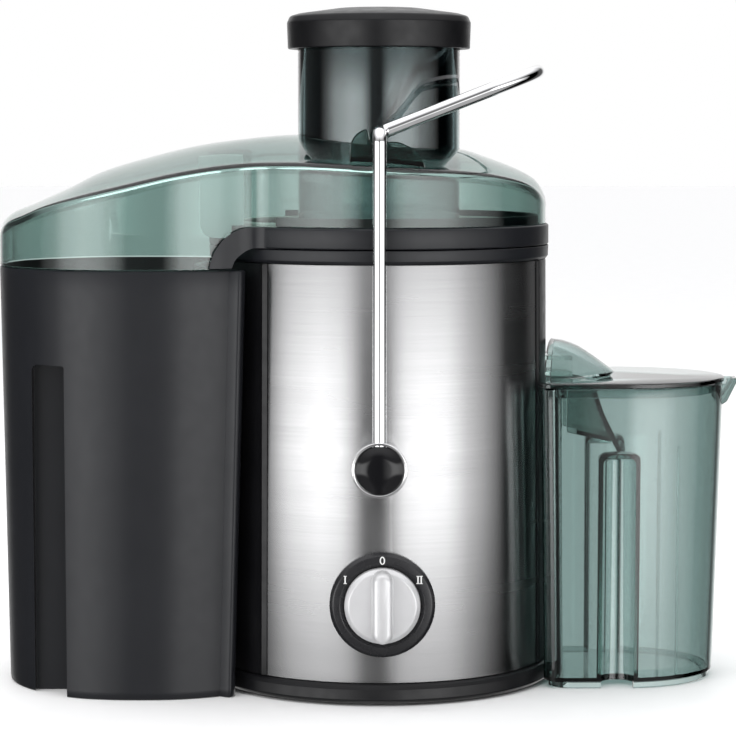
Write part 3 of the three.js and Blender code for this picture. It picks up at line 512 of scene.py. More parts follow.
PRINT_WHITE = moulded("print_white", (0.75, 0.75, 0.74), (0.82, 0.82, 0.81), (0.45, 0.55))

SLOT_OF = {row["node"]: row["material_slot"] for row in frame["record"]["subparts"]}
for node, obj in frame["nodes"].items():
    obj.data.materials.clear()
    obj.data.materials.append(MATERIALS[SLOT_OF[node]])


def dress(obj, slot, body, *nodes, material=None):
    """Gives a new piece its finish, its body and the CAD nodes that it stands for."""
    obj.data.materials.clear()
    obj.data.materials.append(material or MATERIALS[slot])
    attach(obj, body)
    if nodes:
        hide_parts(*nodes)
    return obj


# ---------- base ----------
STEEL_LEFT_DEG = 39.7
STEEL_RIGHT_DEG = 67.2


def steel_radius(z):
    return STEEL_R_LOW + (STEEL_R_HIGH - STEEL_R_LOW) * (z - STEEL_LOW) / (STEEL_HIGH - STEEL_LOW)


def steel_panel(name, start, stop):
    """A curved sheet 0.8 mm thick, with its top and bottom edges rounded."""
    steps = 150
    section = [(0, STEEL_LOW), (0, STEEL_HIGH), (-0.8, STEEL_HIGH), (-0.8, STEEL_LOW)]
    section = rounded(section, 0.25, 2)
    rings = []
    for i in range(steps + 1):
        c, s = polar(1, start + (stop - start) * i / steps)
        rings.append([((steel_radius(z) + d) * c, (steel_radius(z) + d) * s, z) for d, z in section])
    return loft(name, rings)


def wrap_map(obj):
    """A map that runs round and up, which gives the direction of the brushing."""
    layer = obj.data.uv_layers.new(name="wrap")
    for loop in obj.data.loops:
        p = obj.data.vertices[loop.vertex_index].co
        turn = math.atan2(p.x - AXIS.x, abs(p.y - AXIS.y))
        layer.data[loop.index].uv = (turn / math.pi * 0.5 + 0.5, p.z * 3)


def hole(radius, y0, y1, x, z, sides=40):
    return lathe("hole", [(0, y0), (radius, y0), (radius, y1), (0, y1)], sides, to_front(x, z))


front = steel_panel("steel_wrap_front", -90 - STEEL_LEFT_DEG, -90 + STEEL_RIGHT_DEG)
cut(front, hole(4.5, 60, 95, 0, PIVOT_Z), hole(5, 60, 95, DIAL_X, DIAL_Z))
wrap_map(front)
dress(front, "brushed_steel", "base", "steel_front")
rear = steel_panel("steel_wrap_rear", 90 - STEEL_RIGHT_DEG, 90 + STEEL_LEFT_DEG)
cut(rear, hole(4.5, -95, -60, 0, PIVOT_Z), hole(6.7, -95, -60, -14, 24))
wrap_map(rear)
dress(rear, "brushed_steel", "base", "steel_rear")


def side_trim(name, middle, half):
    """The plastic strip that closes the wrap: a flat field between two rounded beads."""
    bead = 3.0
    outer = []
    for i in range(61):
        a = -half + 2 * half * i / 60
        edge = half - abs(a)
        rise = 0.2
        if edge < bead:
            rise = 0.2 + 0.9 * math.sqrt(max(0.0, 1 - ((edge - bead / 2) / (bead / 2)) ** 2)) ** 0.5
        outer.append((a, rise))
    rings = []
    for z in [STEEL_LOW] + spread(STEEL_LOW + 1, STEEL_HIGH - 1, 12) + [STEEL_HIGH]:
        low = -0.2 if z in (STEEL_LOW, STEEL_HIGH) else 0.0
        ring = [(*polar(steel_radius(z) + rise + low, middle + a), z) for a, rise in outer]
        ring += [(*polar(steel_radius(z) - 0.8, middle + a), z) for a, _ in reversed(outer)]
        rings.append(ring)
    return loft(name, rings, 40)


trim = side_trim("side_trim_right", 0, 90 - STEEL_RIGHT_DEG - 0.3)
cut(trim, block("window", 60, 100, -12.8, 12.8, 151, 162.8))
dress(trim, "charcoal_plastic", "base", "trim_right", material=BLACK)
trim = side_trim("side_trim_left", 180, 90 - STEEL_LEFT_DEG - 0.3)
dress(trim, "charcoal_plastic", "base", "trim_left", material=BLACK)

collar_profile = [
    (75, COLLAR_LOW), (COLLAR_R - 1.2, COLLAR_LOW, 0.2), (COLLAR_R - 0.2, COLLAR_LOW + 1.3, 0.5),
    (COLLAR_R, COLLAR_HIGH, 0.4), (75, COLLAR_HIGH),
]
dress(lathe("collar_ring", rounded(collar_profile, 0, 4), 192), "charcoal_plastic", "base", "collar")
foot_profile = [
    (79.2, 1.4), (BASE_R - 1.7, 1.4, 0.6), (BASE_R, 3.1, 0.8), (BASE_R - 0.5, BASE_TOP - 2.4, 0.5),
    (BASE_R - 1.2, BASE_TOP - 0.6, 0.5), (BASE_R - 2.6, BASE_TOP, 0.6), (79.2, BASE_TOP),
]
foot_ring = lathe("base_foot_ring", rounded(foot_profile, 0, 4), 192)
dress(foot_ring, "charcoal_plastic", "base", "base_ring", material=BLACK)
for i in range(4):
    low, high = span(f"foot_{i + 1}")
    cx, cy = (low.x + high.x) / 2, (low.y + high.y) / 2
    pad = rounded([(0, 0), (7.6, 0, 0.5), (8.2, 0.8, 0.4), (8.2, 2.5, 0.2), (0, 2.5)], 0, 3)
    pad = lathe(f"rubber_foot_{i + 1}", pad, 48, lambda p: (p[0] + cx, p[1] + cy, p[2]))
    dress(pad, "rubber", "base", f"foot_{i + 1}")

# ---------- lid outline ----------
container_depth = curve([
    (LID_LEFT, 8), (-187.6, 19), (-183, 33), (-176, 45), (-168, 54.5), (-160, 62), (-151, 68.5), (-140, 73),
    (-125, 75.6), (-110, 76), (-96, 75), (-84, 72), (-76, 68.8), (-70, 65.6), (-65, 63.2), (-60, 62.2),
    (-55, 63.4), (-50, 67),
])


def half_depth(x):
    if x > -52:
        return math.sqrt(max(0.0, LID_R * LID_R - x * x))
    return container_depth(max(x, LID_LEFT))


def half_depth_inside(x, wall):
    if x > -52:
        return math.sqrt(max(0.0, (LID_R - wall) ** 2 - x * x))
    slope = half_depth(x + 0.5) - half_depth(x - 0.5)
    return half_depth(x) - wall * min(3.0, math.hypot(1, slope))


edge_height = curve([
    (LID_LEFT, 223), (-183, 229), (-172, 233.5), (-161, 238), (-142, 243.4), (-123, 248), (-97, 254),
    (-70, 258), (-39, 259), (0, 257.2), (45, 254.4), (66, 250.5), (77, 245.5), (84, 238),
])
crown_height = curve([
    (LID_LEFT, 225), (-187.6, 228.8), (-182.5, 233.3), (-172.5, 237.6), (-154.4, 245.6), (-137, 254),
    (-107, 262.8), (-89, 266.8), (-72, 269.3), (-40, 272), (0, 270), (41, 264.8), (56, 260), (69, 254.9),
    (77, 250.4), (81, 245.6), (84, 238.6),
])
WING_TOP = [
    (-50, 227.8), (-60, 227.8), (-66, 227), (-71, 224.8), (-75, 221.4), (-78.4, 216.4), (-80.4, 211.4),
    (-81, 208.3),
]
WING_LOW = [(-70.6, 208.3), (-69, 212), (-66, 215), (-62.3, 217.2), (-59, 217.8), (-50, 217.8)]


def through(points, each=6):
    """A smooth open curve through the points."""
    made = []
    for i in range(len(points) - 1):
        a, b = Vector(points[max(0, i - 1)]), Vector(points[i])
        c, d = Vector(points[i + 1]), Vector(points[min(len(points) - 1, i + 2)])
        for k in range(each):
            t = k / each
            square, cube = 2 * a - 5 * b + 4 * c - d, 3 * b - a - 3 * c + d
            p = 0.5 * (2 * b + (c - a) * t + square * t**2 + cube * t**3)
            made.append(tuple(p))
    made.append(tuple(points[-1]))
    return made


# ---------- bowl ----------
def make_cup(name):
    """The turned part of the bowl."""
    return lathe(name, rounded([
        (9, BOWL_FLOOR, 0.4), (69, BOWL_FLOOR, 3), (74, BOWL_FLOOR + 5, 3), (74, BAND_LOW, 0.6),
        (BAND_R, BAND_LOW, 0.7), (BAND_R, BAND_HIGH, 1.1), (LIP_R, BAND_HIGH, 0.5), (LIP_R, LIP_TOP, 0.7),
        (LIP_R - 1.8, LIP_TOP, 0.7), (LIP_R - 1.8, 225, 2), (71.5, 214, 3), (71.5, BOWL_FLOOR + 6, 3),
        (68, BOWL_FLOOR + BOWL_WALL, 3), (11.6, BOWL_FLOOR + BOWL_WALL, 1.5), (11.6, 178, 0.6), (9, 178, 0.6),
    ], 0.5, 4), 192)


def make_bowl():
    bowl = make_cup("bowl_body")
    cut(bowl, block("outlet", -95, -49, -70, 70, BAND_HIGH, 240))
    wing = through(WING_TOP) + through(WING_LOW)
    xs = spread(-86, -50, 28)
    sides = []
    for side in (-1, 1):
        plan = [(x, side * (half_depth(x) + 1.2)) for x in xs]
        plan += [(x, side * (half_depth(x) - 1.8)) for x in reversed(xs)]
        shaped = loft("wing", [[(x, y, z) for x, y in plan] for z in (200, 236)])
        sides.append(boolean(shaped, upright("wing_side", wing, -90, 90), "INTERSECT"))
    room = OUTLET_HALF + GAP
    cut(bowl, block("notch", 66, 80, -room, room, 140, OUTLET_TOP + GAP))
    join(bowl, *sides)
    return bowl


def make_spout():
    """The juice outlet: a piece of the bowl's wall with a square tube that leads out to the jug."""
    half = SPOUT_HALF + SPOUT_WALL
    wall = make_cup("juice_spout_wall")
    boolean(wall, block("room", 66 + GAP, 80, -OUTLET_HALF, OUTLET_HALF, 140, OUTLET_TOP), "INTERSECT")
    corners = [(-half, BOWL_FLOOR), (half, BOWL_FLOOR), (half, SPOUT_TOP), (-half, SPOUT_TOP)]
    section = rounded(corners, 1.5, 4)
    tube = loft("juice_spout_tube", [[(x, y, z) for y, z in section] for x in (70, SPOUT_END)])
    joined = boolean(wall, tube, "UNION")
    bore = block("bore", 60, 99, -SPOUT_HALF, SPOUT_HALF, BOWL_FLOOR + BOWL_WALL, SPOUT_TOP - 2.2)
    return cut(joined, bore)


dress(make_bowl(), "charcoal_plastic", "base", "bowl")
dress(make_spout(), "smoked_clear", "base", "juice_spout", material=SPOUT_CLEAR)


# ---------- lid ----------
def lid_section(x, half, low, edge, crown, fillet):
    top = half - 0.8
    side = [(half - 0.8 * t, low + (edge - fillet - low) * t) for t in spread(0, 1, 7)[:-1]]
    for a in spread(0, 90, 9):
        c, s = polar(fillet, a)
        side.append((top - fillet + c, edge - fillet + s))
    for i in range(1, 17):
        t = 1 - i / 16
        side.append(((top - fillet) * t, edge + (crown - edge) * (1 - t * t)))
    points = side + [(-y, z) for y, z in reversed(side[:-1])]
    return [(x, y, z) for y, z in points]


def lid_block(name, wall):
    left = LID_LEFT + wall
    bowl_side = [polar(LID_R - wall, a)[0] for a in [3, 7] + spread(11, 119, 37)]
    tip = [x for x in (-186, -187.4, -188.4) if x > left + 0.4]
    stations = bowl_side + spread(-43, -184, 62) + tip + [left]
    sections = []
    for x in stations:
        half = half_depth_inside(x, wall) if wall else half_depth(x)
        edge = edge_height(x) - wall
        crown = max(edge + 0.2, crown_height(x) - wall)
        low = LID_LOW - 8 if wall else LID_LOW
        sections.append(lid_section(x, half, low, edge, crown, min(3.6, half / 4)))
    return loft(name, sections, 40)


def ear(side):
    lobes = [
        (-14, 246), (-14.2, 258), (-14, 266), (-12.6, 270.4), (-9.6, 273.4), (-6.4, 274.6), (-5.2, 273.2),
        (-4.6, 270.4), (-3.2, 268.8), (3.4, 268.6), (8.6, 268.6), (14.2, 266.4), (18.6, 262.4), (21.4, 257.6),
        (22.6, 250), (22.8, 246),
    ]
    outline = through(lobes, 5)
    y0, y1 = (-74.6, -66) if side < 0 else (66, 74.6)
    return upright("ear", outline, y0, y1, 0.6)


def make_lid():
    lid = lid_block("lid_cover", 0)
    join(lid, ear(-1), ear(1))
    cut(lid, lid_block("hollow", LID_WALL))
    rim = [(x - 0.5, z + 0.45) for x, z in reversed(through(WING_TOP))]
    cutter = [(-81.5, 190)] + rim + [(100, BAND_HIGH + 0.45), (100, 190)]
    cut(lid, upright("skirt", cutter, -100, 100))
    guide = rounded([(-87, 262), (-87, 222, 7), (-66, 222, 1), (-66, 262)], 0, 6)
    panels = []
    room_r, room_top = BAND_R + 0.6, BAND_HIGH + 0.5
    rows = (("lid_guide_front", -46, -44.2, LID_WALL + 0.2), ("lid_guide_rear", 44.2, 46, 0.6))
    for name, y0, y1, wall in rows:
        shape = upright(name, guide, y0, y1)
        boolean(shape, lid_block("within", wall), "INTERSECT")
        cut(shape, lathe("room", [(0, 200), (room_r, 200), (room_r, room_top), (0, room_top)]))
        panels.append(shape)
    # The front guide panel carries the painted highlight colour; the rear panel is joined to the clear lid.
    dress(panels[0], "smoked_clear", "base", material=GUIDE_PAINTED_HIGHLIGHT)
    join(lid, panels[1])
    hole_r = CHUTE_R + 0.1
    cut(lid, lathe("chute_hole", [(0, 200), (hole_r, 200), (hole_r, 330), (0, 330)], 160))
    return lid


dress(make_lid(), "smoked_clear", "base", "lid")
tube = rounded([
    (CHUTE_R - CHUTE_WALL, CHUTE_LOW), (CHUTE_R, CHUTE_LOW),
    (CHUTE_R, CHUTE_TOP), (CHUTE_R - CHUTE_WALL, CHUTE_TOP),
], 0.8, 4)
dress(lathe("chute_tube", tube, 160), "smoked_clear", "base", "feed_chute", material=CHUTE_CLEAR)

# ---------- pusher ----------
body = rounded([
    (0, 262), (30.4, 262, 0.6), (32, PUSHER_LOW, 0.4), (33.6, PUSHER_LOW, 0.6), (PUSHER_R, 266.4, 1.2),
    (PUSHER_R, 316, 0.4), (0, 316),
], 0, 4)
dress(lathe("pusher_tube", body, 160), "black_plastic", "pusher", "pusher_body", material=PUSHER_BLACK)
cap = rounded([
    (0, 316.3), (CHUTE_R + 1, 316.3, 0.4), (CHUTE_R + 1.4, CAP_LOW, 0.4), (CAP_R - 0.4, CAP_LOW, 0.7),
    (CAP_R, 327.4, 2), (CAP_R - 1.4, 330.6, 2), (CAP_R - 6, 331.9, 4), (20, 334.6, 20), (0, CAP_TOP),
], 0, 5)
dress(lathe("pusher_top", cap, 192), "charcoal_plastic", "pusher", "pusher_cap", material=BLACK)


# ---------- pulp container ----------
def bin_outline(wall):
    left = LID_LEFT + wall
    xs = [x for x in spread(-188.6, -72, 60) if x > left + 0.3]
    front_line = [(x, -(half_depth(x) - wall * 1.12 - 0.2)) for x in xs]
    near = through([
        (-72, -(half_depth(-72) - wall * 1.12 - 0.2)), (-66.9 - wall, -69 + wall),
        (-64.7 - wall, -66.4 + wall * 0.8), (-64.3 - wall * 1.2, -62.6 + wall * 0.4), polar(90 + wall, 222),
    ], 5)[1:-1]
    hollow = [polar(90 + wall, 180 + a) for a in spread(42, 2, 14)]
    side = [(left, -5), *front_line, *near, *hollow]
    return side + [(x, -y) for x, y in reversed(side)]


def bin_ring(z, outline, grow=0.0):
    down = 1 - z / BIN_TOP
    if grow:
        outline = inset(outline, grow)
    made = []
    for x, y in outline:
        along = (x - LID_LEFT) / 127
        made.append((x + down * (3.2 - 9.4 * along), y * (1 - 0.035 * down), z))
    return made


def bin_grip(side, wall):
    x0, x1, top, deep = BIN_GRIP[0] - wall, BIN_GRIP[1] + wall, BIN_GRIP[2] + wall, BIN_GRIP[3] - wall
    outline = rounded([(x0, -5), (x0, top, 3.4), (x1, top, 1.2), (x1, -5)], 0, 5)
    y0, y1 = (-100, -deep) if side < 0 else (deep, 100)
    return upright("grip", outline, y0, y1)


def make_bin():
    outer = bin_outline(0)
    rings = [bin_ring(0, outer, 1.0), bin_ring(0.3, outer, 0.4), bin_ring(1, outer)]
    rings += [bin_ring(z, outer) for z in spread(4, BIN_TOP - 1, 16)]
    rings += [bin_ring(BIN_TOP - 0.3, outer, 0.25), bin_ring(BIN_TOP, outer, 0.8)]
    made = loft("pulp_bin_shell", rings, 30)
    inner = bin_outline(BIN_WALL)
    space = loft("space", [bin_ring(z, inner) for z in spread(3, BIN_TOP + 4, 16)])
    cut(space, bin_grip(-1, BIN_WALL), bin_grip(1, BIN_WALL))
    cut(made, bin_grip(-1, 0), bin_grip(1, 0), space)
    return made


dress(make_bin(), "charcoal_plastic", "pulp_bin", "pulp_container")


# ---------- jug ----------
def jug_outline(z, wall):
    up = z / JUG_TOP
    deep = 45 + 5 * up - wall
    end = 168.6 + 4.4 * up - wall
    turn_x = 120
    body_r = JUG_BODY_R + wall
    stop = math.degrees(math.asin((deep - 7) / body_r))
    side = [polar(body_r, -stop * s) for s in spread(0.04, 1, 12)]
    cx, cy = side[-1]
    near = rounded([(cx, cy), (cx + 2.4, -deep, 7), (turn_x - 16, -deep)], 0, 8, closed=False)
    side += near[1:]
    for a in spread(0, 87, 26):
        c, s = polar(1, a)
        side.append((turn_x + (end - turn_x) * s, -deep * c))
    return side + [(x, -y) for x, y in reversed(side)]


def jug_ring(z, wall, height=None):
    return [(x, y, z if height is None else height) for x, y in jug_outline(z, wall)]


def jug_grip(side, wall):
    r = JUG_GRIP_R + wall
    y = side * JUG_GRIP_Y
    top = JUG_GRIP_TOP + wall
    dome = rounded([(0, -5), (r, -5), (r, top, 3), (0, top)], 0, 6)
    hole_piece = lathe("dome", dome, 64, lambda p: (p[0] + JUG_GRIP_X, p[1] + y, p[2]))
    corners = [(-r, -5, 0), (-r, top, 3), (r, top, 3), (r, -5, 0)]
    face = rounded([(JUG_GRIP_X + x, z, edge) for x, z, edge in corners], 0, 6)
    y0, y1 = (-70, y) if side < 0 else (y, 70)
    return join(hole_piece, upright("slot", face, y0, y1))


def make_jug():
    rings = [jug_ring(0, 2.2), jug_ring(0.5, 1.6), jug_ring(3, 1.5), jug_ring(3.6, 0.2), jug_ring(4.4, 0)]
    rings += [jug_ring(z, 0) for z in spread(10, JUG_TOP - 0.6, 14)]
    rings += [jug_ring(JUG_TOP - 0.2, 0.15), jug_ring(JUG_TOP, 0.6)]
    made = loft("jug_body", rings, 30)
    lip_side = rounded([
        (166, JUG_TOP - 1), (174.2, JUG_TOP - 1, 0.3), (174.6, JUG_TOP + 1.8, 0.3),
        (180.4, JUG_TOP + 1.8, 0.4), (179.6, JUG_TOP + 0.2, 0.4), (174.6, 138.6, 2), (166, 133),
    ], 0, 5)
    join(made, upright("lip", lip_side, -7, 7, 0.3))
    cut(made, loft("underside", [jug_ring(0, 4.4, z) for z in (-1, 2.6)]))
    space = loft("space", [jug_ring(z, JUG_WALL) for z in [5.4] + spread(9, JUG_TOP + 4, 12)])
    cut(space, jug_grip(-1, JUG_WALL), jug_grip(1, JUG_WALL))
    cut(made, jug_grip(-1, 0), jug_grip(1, 0), space)
    pour = rounded([(163, 160), (178.6, 160), (177.6, 148.4, 1), (172, 140.6, 3), (163, 140.6)], 0, 5)
    cut(made, upright("pour", pour, -5.2, 5.2))
    for x, top in ((136.9, 128), (146.7, 119.5)):
        rib = block("rib", x - 0.7, x + 0.7, -47, -28, 5, top)
        boolean(rib, loft("within", [jug_ring(4, 1), jug_ring(JUG_TOP, 1)]), "INTERSECT")
        cut(rib, loft("beyond", [jug_ring(4, JUG_WALL + 2), jug_ring(JUG_TOP, JUG_WALL + 2)]))
        join(made, rib)
    return made


dress(make_jug(), "smoked_clear", "jug", "jug", material=JUG_CLEAR)


# The hood over the spout: height above the cover, reach to the right and half width of each ring.
HOOD_RINGS = [
    (1.2, 28.8, 22.8), (3.0, 31.2, 22.6), (4.6, 32.6, 22.2), (6.2, 30.9, 21.8), (8.9, 27.2, 21.0),
    (12.0, 23.0, 19.9), (15.0, 18.6, 18.2), (17.4, 14.6, 16.0), (19.2, 10.4, 13.0), (20.3, 6.4, 9.5),
    (20.8, 2.5, 4.5),
]
HOOD_HIGH = HOOD_RINGS[-1][0]


def hood_rings(grow, z0):
    rings = []
    for height, reach, wide in HOOD_RINGS:
        z = z0 + height * (1 - grow / HOOD_HIGH)
        points = [(80, grow - wide)]
        for t in spread(90, 4, 18):
            u, v = polar(1, t)
            points.append((85.6 + (reach - grow) * u**0.77, (grow - wide) * v**0.77))
        points += [(x, -y) for x, y in reversed(points)]
        rings.append([(x, y, z) for x, y in points])
    return rings


def make_jug_lid():
    z0 = JUG_TOP + 0.4
    rim = ((-0.2, 0), (-0.6, 0.4), (-0.6, 1.9), (-0.2, 2.4), (0.6, 2.6))
    disc = [jug_ring(JUG_TOP, w, z0 + h) for w, h in rim]
    made = loft("jug_cover", disc, 30)
    plug = [jug_ring(JUG_TOP, w, z) for w, z in ((3.3, 143.8), (2.9, 144.2), (2.9, z0 + 1))]
    join(made, loft("plug", plug))
    cut(made, loft("plug_space", [jug_ring(JUG_TOP, 4.5, z) for z in (140, z0)]))
    join(made, loft("hood", hood_rings(0, z0), 40))
    cut(made, loft("hood_space", [[(x, y, z - 0.6) for x, y, z in ring] for ring in hood_rings(2, z0)]))
    cut(made, block("slot", 80, 112, -13.4, 13.4, 138, z0 + 3))
    near_r = JUG_BODY_R - JUG_WALL
    cut(made, lathe("near", [(0, 100), (near_r, 100), (near_r, 200), (0, 200)], 160))
    return made


dress(make_jug_lid(), "smoked_clear", "jug_cover", "jug_lid", material=JUG_CLEAR)


def make_froth():
    cheek = rounded([
        (95.6, JUG_TOP), (106, JUG_TOP), (109.4, 138.1, 2), (115.4, 119.4, 1), (93.6, 124.1, 1),
        (93.6, 141, 2),
    ], 0.4, 4)
    made = upright("froth_plate", cheek, -16.4, -14.6, 0.3)
    flap = [(106.2, 140.4), (108.8, 140.4), (121.4, 114.6), (118.6, 114.6)]
    join(made, upright("flap", flap, -16.4, 16.4, 0.3))
    ramp = [(98.6, 123.2), (115.6, 119.4), (115.6, 121.4), (98.6, 125.2)]
    join(made, upright("ramp", ramp, -15.4, 15.4))
    join(made, upright("cheek", cheek, 14.6, 16.4, 0.3))
    return made


dress(make_froth(), "smoked_clear", "jug_cover", "froth_separator", material=FROTH_CLEAR)


# ---------- locking arm ----------
def bent(corners, radii, step=5):
    """A line of straight runs with each inner corner rounded to its own radius."""
    corners = [Vector(c) for c in corners]
    path = [corners[0]]
    for i in range(1, len(corners) - 1):
        back = (corners[i - 1] - corners[i]).normalized()
        on = (corners[i + 1] - corners[i]).normalized()
        half = back.angle(on) / 2
        middle = (back + on).normalized()
        centre = corners[i] + middle * (radii[i - 1] / math.sin(half))
        first = corners[i] + back * (radii[i - 1] / math.tan(half)) - centre
        axis = back.cross(on).normalized() * -1
        sweep = math.pi - 2 * half
        steps = max(4, round(math.degrees(sweep) / step))
        for k in range(steps + 1):
            turn = sweep * k / steps
            path.append(first * math.cos(turn) + axis.cross(first) * math.sin(turn) + centre)
    return path + [corners[-1]]


def rod(name, path, radius, sides=28):
    rings = []
    side = Vector((1, 0, 0))
    before = None
    for i, p in enumerate(path):
        heading = (path[min(len(path) - 1, i + 1)] - path[max(0, i - 1)]).normalized()
        if before is not None:
            side = before.rotation_difference(heading) @ side
        before = heading
        up = heading.cross(side).normalized()
        round_it = [polar(radius, 360 * k / sides) for k in range(sides)]
        rings.append([tuple(p + side * u + up * v) for u, v in round_it])
    return loft(name, rings, 50)


arm_path = bent(
    [(0, -LEG_Y, PIVOT_Z + 10), (0, -LEG_Y, ELBOW_Z), (0, -HANDLE_Y, ELBOW_Z), (BAR_X, -HANDLE_Y, BAR_Z),
     (BAR_X, HANDLE_Y, BAR_Z), (0, HANDLE_Y, ELBOW_Z), (0, LEG_Y, ELBOW_Z), (0, LEG_Y, PIVOT_Z + 10)],
    [4.6, 4.6, 26, 26, 4.6, 4.6],
)
arm = rod("arm_rod", arm_path, ROD_R)
eye_profile = rounded([
    (4.2, 87.1), (13.2, 87.1, 1), (13.2, 94.7, 0.5), (11.8, 94.7, 0.5), (11.8, 91), (4.2, 91),
], 0, 5)
for way in (to_front, to_rear):
    join(arm, lathe("eye", eye_profile, 96, way(0, PIVOT_Z)))
dress(arm, "chrome", "arm", "locking_arm")
cap_profile = rounded([(0, 92.9), (11.4, 92.9), (11.4, 94.3, 0.6), (7.4, 96.2, 12), (0, 96.8)], 0, 8)
dress(lathe("arm_cap_front", cap_profile, 96, to_front(0, PIVOT_Z)), "gloss_black", "arm", "pivot_cap_front")
dress(lathe("arm_cap_rear", cap_profile, 96, to_rear(0, PIVOT_Z)), "gloss_black", "arm", "pivot_cap_rear")

# ---------- dial ----------
bezel_profile = rounded([
    (KNOB_R + 0.5, 72), (DIAL_R, 72), (DIAL_R, 86.4, 0.5), (DIAL_R - 1.6, 88.0, 1.2),
    (KNOB_R + 2.2, 88.2, 0.8), (KNOB_R + 0.5, 87.0, 0.5),
], 0, 5)
bezel = lathe("dial_ring", bezel_profile, 160, to_front(DIAL_X, DIAL_Z))
back_profile = [(5.2, 84), (KNOB_R + 1, 84), (KNOB_R + 1, 85.6), (5.2, 85.6)]
join(bezel, lathe("back", back_profile, 96, to_front(DIAL_X, DIAL_Z)))
cut(bezel, lathe("room", [(0, 0), (STEEL_R_LOW + 0.45, 0), (STEEL_R_LOW + 0.1, 120), (0, 120)], 192))
dress(bezel, "gloss_black", "base", "dial_bezel", material=DIAL_BLACK)


def glyph(name, outline, x, z, hole_outline=None):
    """A printed mark on the dial ring."""
    moved = [(x + a, z + b) for a, b in outline]
    made = upright(name, moved, -88.32, -87.7)
    if hole_outline:
        cut(made, upright("counter", [(x + a, z + b) for a, b in hole_outline], -89, -87))
    return made


def numeral_one(shift=0.0):
    """One stroke with serifs."""
    h, w, s, t = 1.9, 0.32, 0.75, 0.3
    return [(shift + a, b) for a, b in [
        (-s, -h), (s, -h), (s, -h + t), (w, -h + t), (w, h - t), (s, h - t), (s, h), (-s, h), (-s, h - t),
        (-w, h - t), (-w, -h + t), (-s, -h + t)]]


MARK_R = KNOB_R + 3.5
zero = [(1.3 * polar(1, a)[0], 1.95 * polar(1, a)[1]) for a in spread(0, 345, 24)]
counter = [(0.66 * polar(1, a)[0], 1.4 * polar(1, a)[1]) for a in spread(0, 345, 24)]
marks = [("dial_mark_0", zero, 90, counter), ("dial_mark_I", numeral_one(), 145, None)]
marks += [("dial_mark_II_left", numeral_one(-0.75), 35, None)]
marks += [("dial_mark_II_right", numeral_one(0.75), 35, None)]
for name, outline, where, inner in marks:
    x, z = polar(MARK_R, where)
    dress(glyph(name, outline, DIAL_X + x, DIAL_Z + z, inner), "gloss_black", "base", material=PRINT_WHITE)

knob_profile = rounded([
    (0, 86), (KNOB_R, 86, 0.3), (KNOB_R, 90.2, 1.4), (KNOB_R - 2, 92.0, 1.2), (KNOB_R - 4.6, 92.0, 2),
    (0, 92.6),
], 0, 5)
knob = lathe("dial_turn_knob", knob_profile, 144, to_front(DIAL_X, DIAL_Z))


def bar_outline(half, reach):
    points = [(polar(half, a)[0], reach - half + polar(half, a)[1]) for a in spread(0, 180, 17)]
    return points + [(-x, -z) for x, z in points]


bar_rings = []
for height, grow in ((90, 0.0), (95.6, 0.35), (97.4, 0.6), (98.6, 1.2), (99.3, 2.0), (99.6, 3.0)):
    outline = bar_outline(5.4 - grow, 17.6 - grow)
    bar_rings.append([(DIAL_X + x, -height, DIAL_Z + z) for x, z in outline])
join(knob, loft("bar", bar_rings, 50))
stem = [(0, 74), (3.1, 74), (3.1, 88), (0, 88)]
join(knob, lathe("stem", stem, 40, to_front(DIAL_X, DIAL_Z)))
dress(knob, "silver_satin", "dial", "dial_knob")

# ---------- spinning basket ----------
sieve = rounded([
    (2.4, 196), (37, 196, 1.5), (71.2, 226.2), (70, 226.9), (36.6, 196.9, 1.5), (2.4, 196.9),
], 0, 4)
dress(lathe("sieve_basket", sieve, 160), "sieve_steel", "rotor", "filter_basket")
rim = rounded([
    (71.6, 223.4), (74, 223.4, 0.5), (74, 229.4, 0.9), (69.2, 229.4, 0.5), (69.2, 227.7), (72.4, 227.7),
], 0, 4)
dress(lathe("sieve_rim", rim, 160), "pale_plastic", "rotor", "filter_rim")
nut = rounded([
    (0, 195.9), (2, 195.9), (2, 199), (6.4, 199, 0.4), (6.4, 202, 0.5), (2.6, 204.4, 1), (0, 204.8),
], 0, 4)
dress(lathe("basket_top_nut", nut, 64), "plain_steel", "rotor", "basket_nut")


def make_grater():
    plate = rounded([(2.4, 197.3), (35.2, 197.3, 0.3), (35.2, 198.3, 0.3), (2.4, 198.3)], 0, 2)
    made = lathe("grater_plate", plate, 96)
    points, faces = [], []
    for ring in range(7):
        r = 10 + ring * 3.6
        count = 10 + ring * 5
        for i in range(count):
            a = 360 * i / count + ring * 11
            c, s = polar(1, a)
            start = len(points)
            for u, v, h in ((-0.7, -0.9, 0), (-0.7, 0.9, 0), (0.9, 0, 0), (-0.55, 0, 1.2)):
                x, y = r + v, u
                points.append((x * c - y * s, x * s + y * c, 198.25 + h))
            faces += [tuple(start + k for k in face) for face in ((0, 1, 3), (1, 2, 3), (2, 0, 3), (0, 2, 1))]
    teeth = build("grater_teeth", points, faces)
    dress(teeth, "plain_steel", "rotor")
    return made


dress(make_grater(), "plain_steel", "rotor", "grater_disc")

# ---------- studio ----------
floor_mesh = bpy.data.meshes.new("floor")
floor_mesh.from_pydata([(-12, -12, 0), (12, -12, 0), (12, 12, 0), (-12, 12, 0)], [], [(0, 1, 2, 3)])
floor = bpy.data.objects.new("floor", floor_mesh)
bpy.context.scene.collection.objects.link(floor)
paper = moulded("floor_paper", (0.9, 0.9, 0.9), (0.92, 0.92, 0.92), (0.5, 0.6), 300, 0.02)
floor_mesh.materials.append(paper)
floor.visible_glossy = False
floor.visible_transmission = False


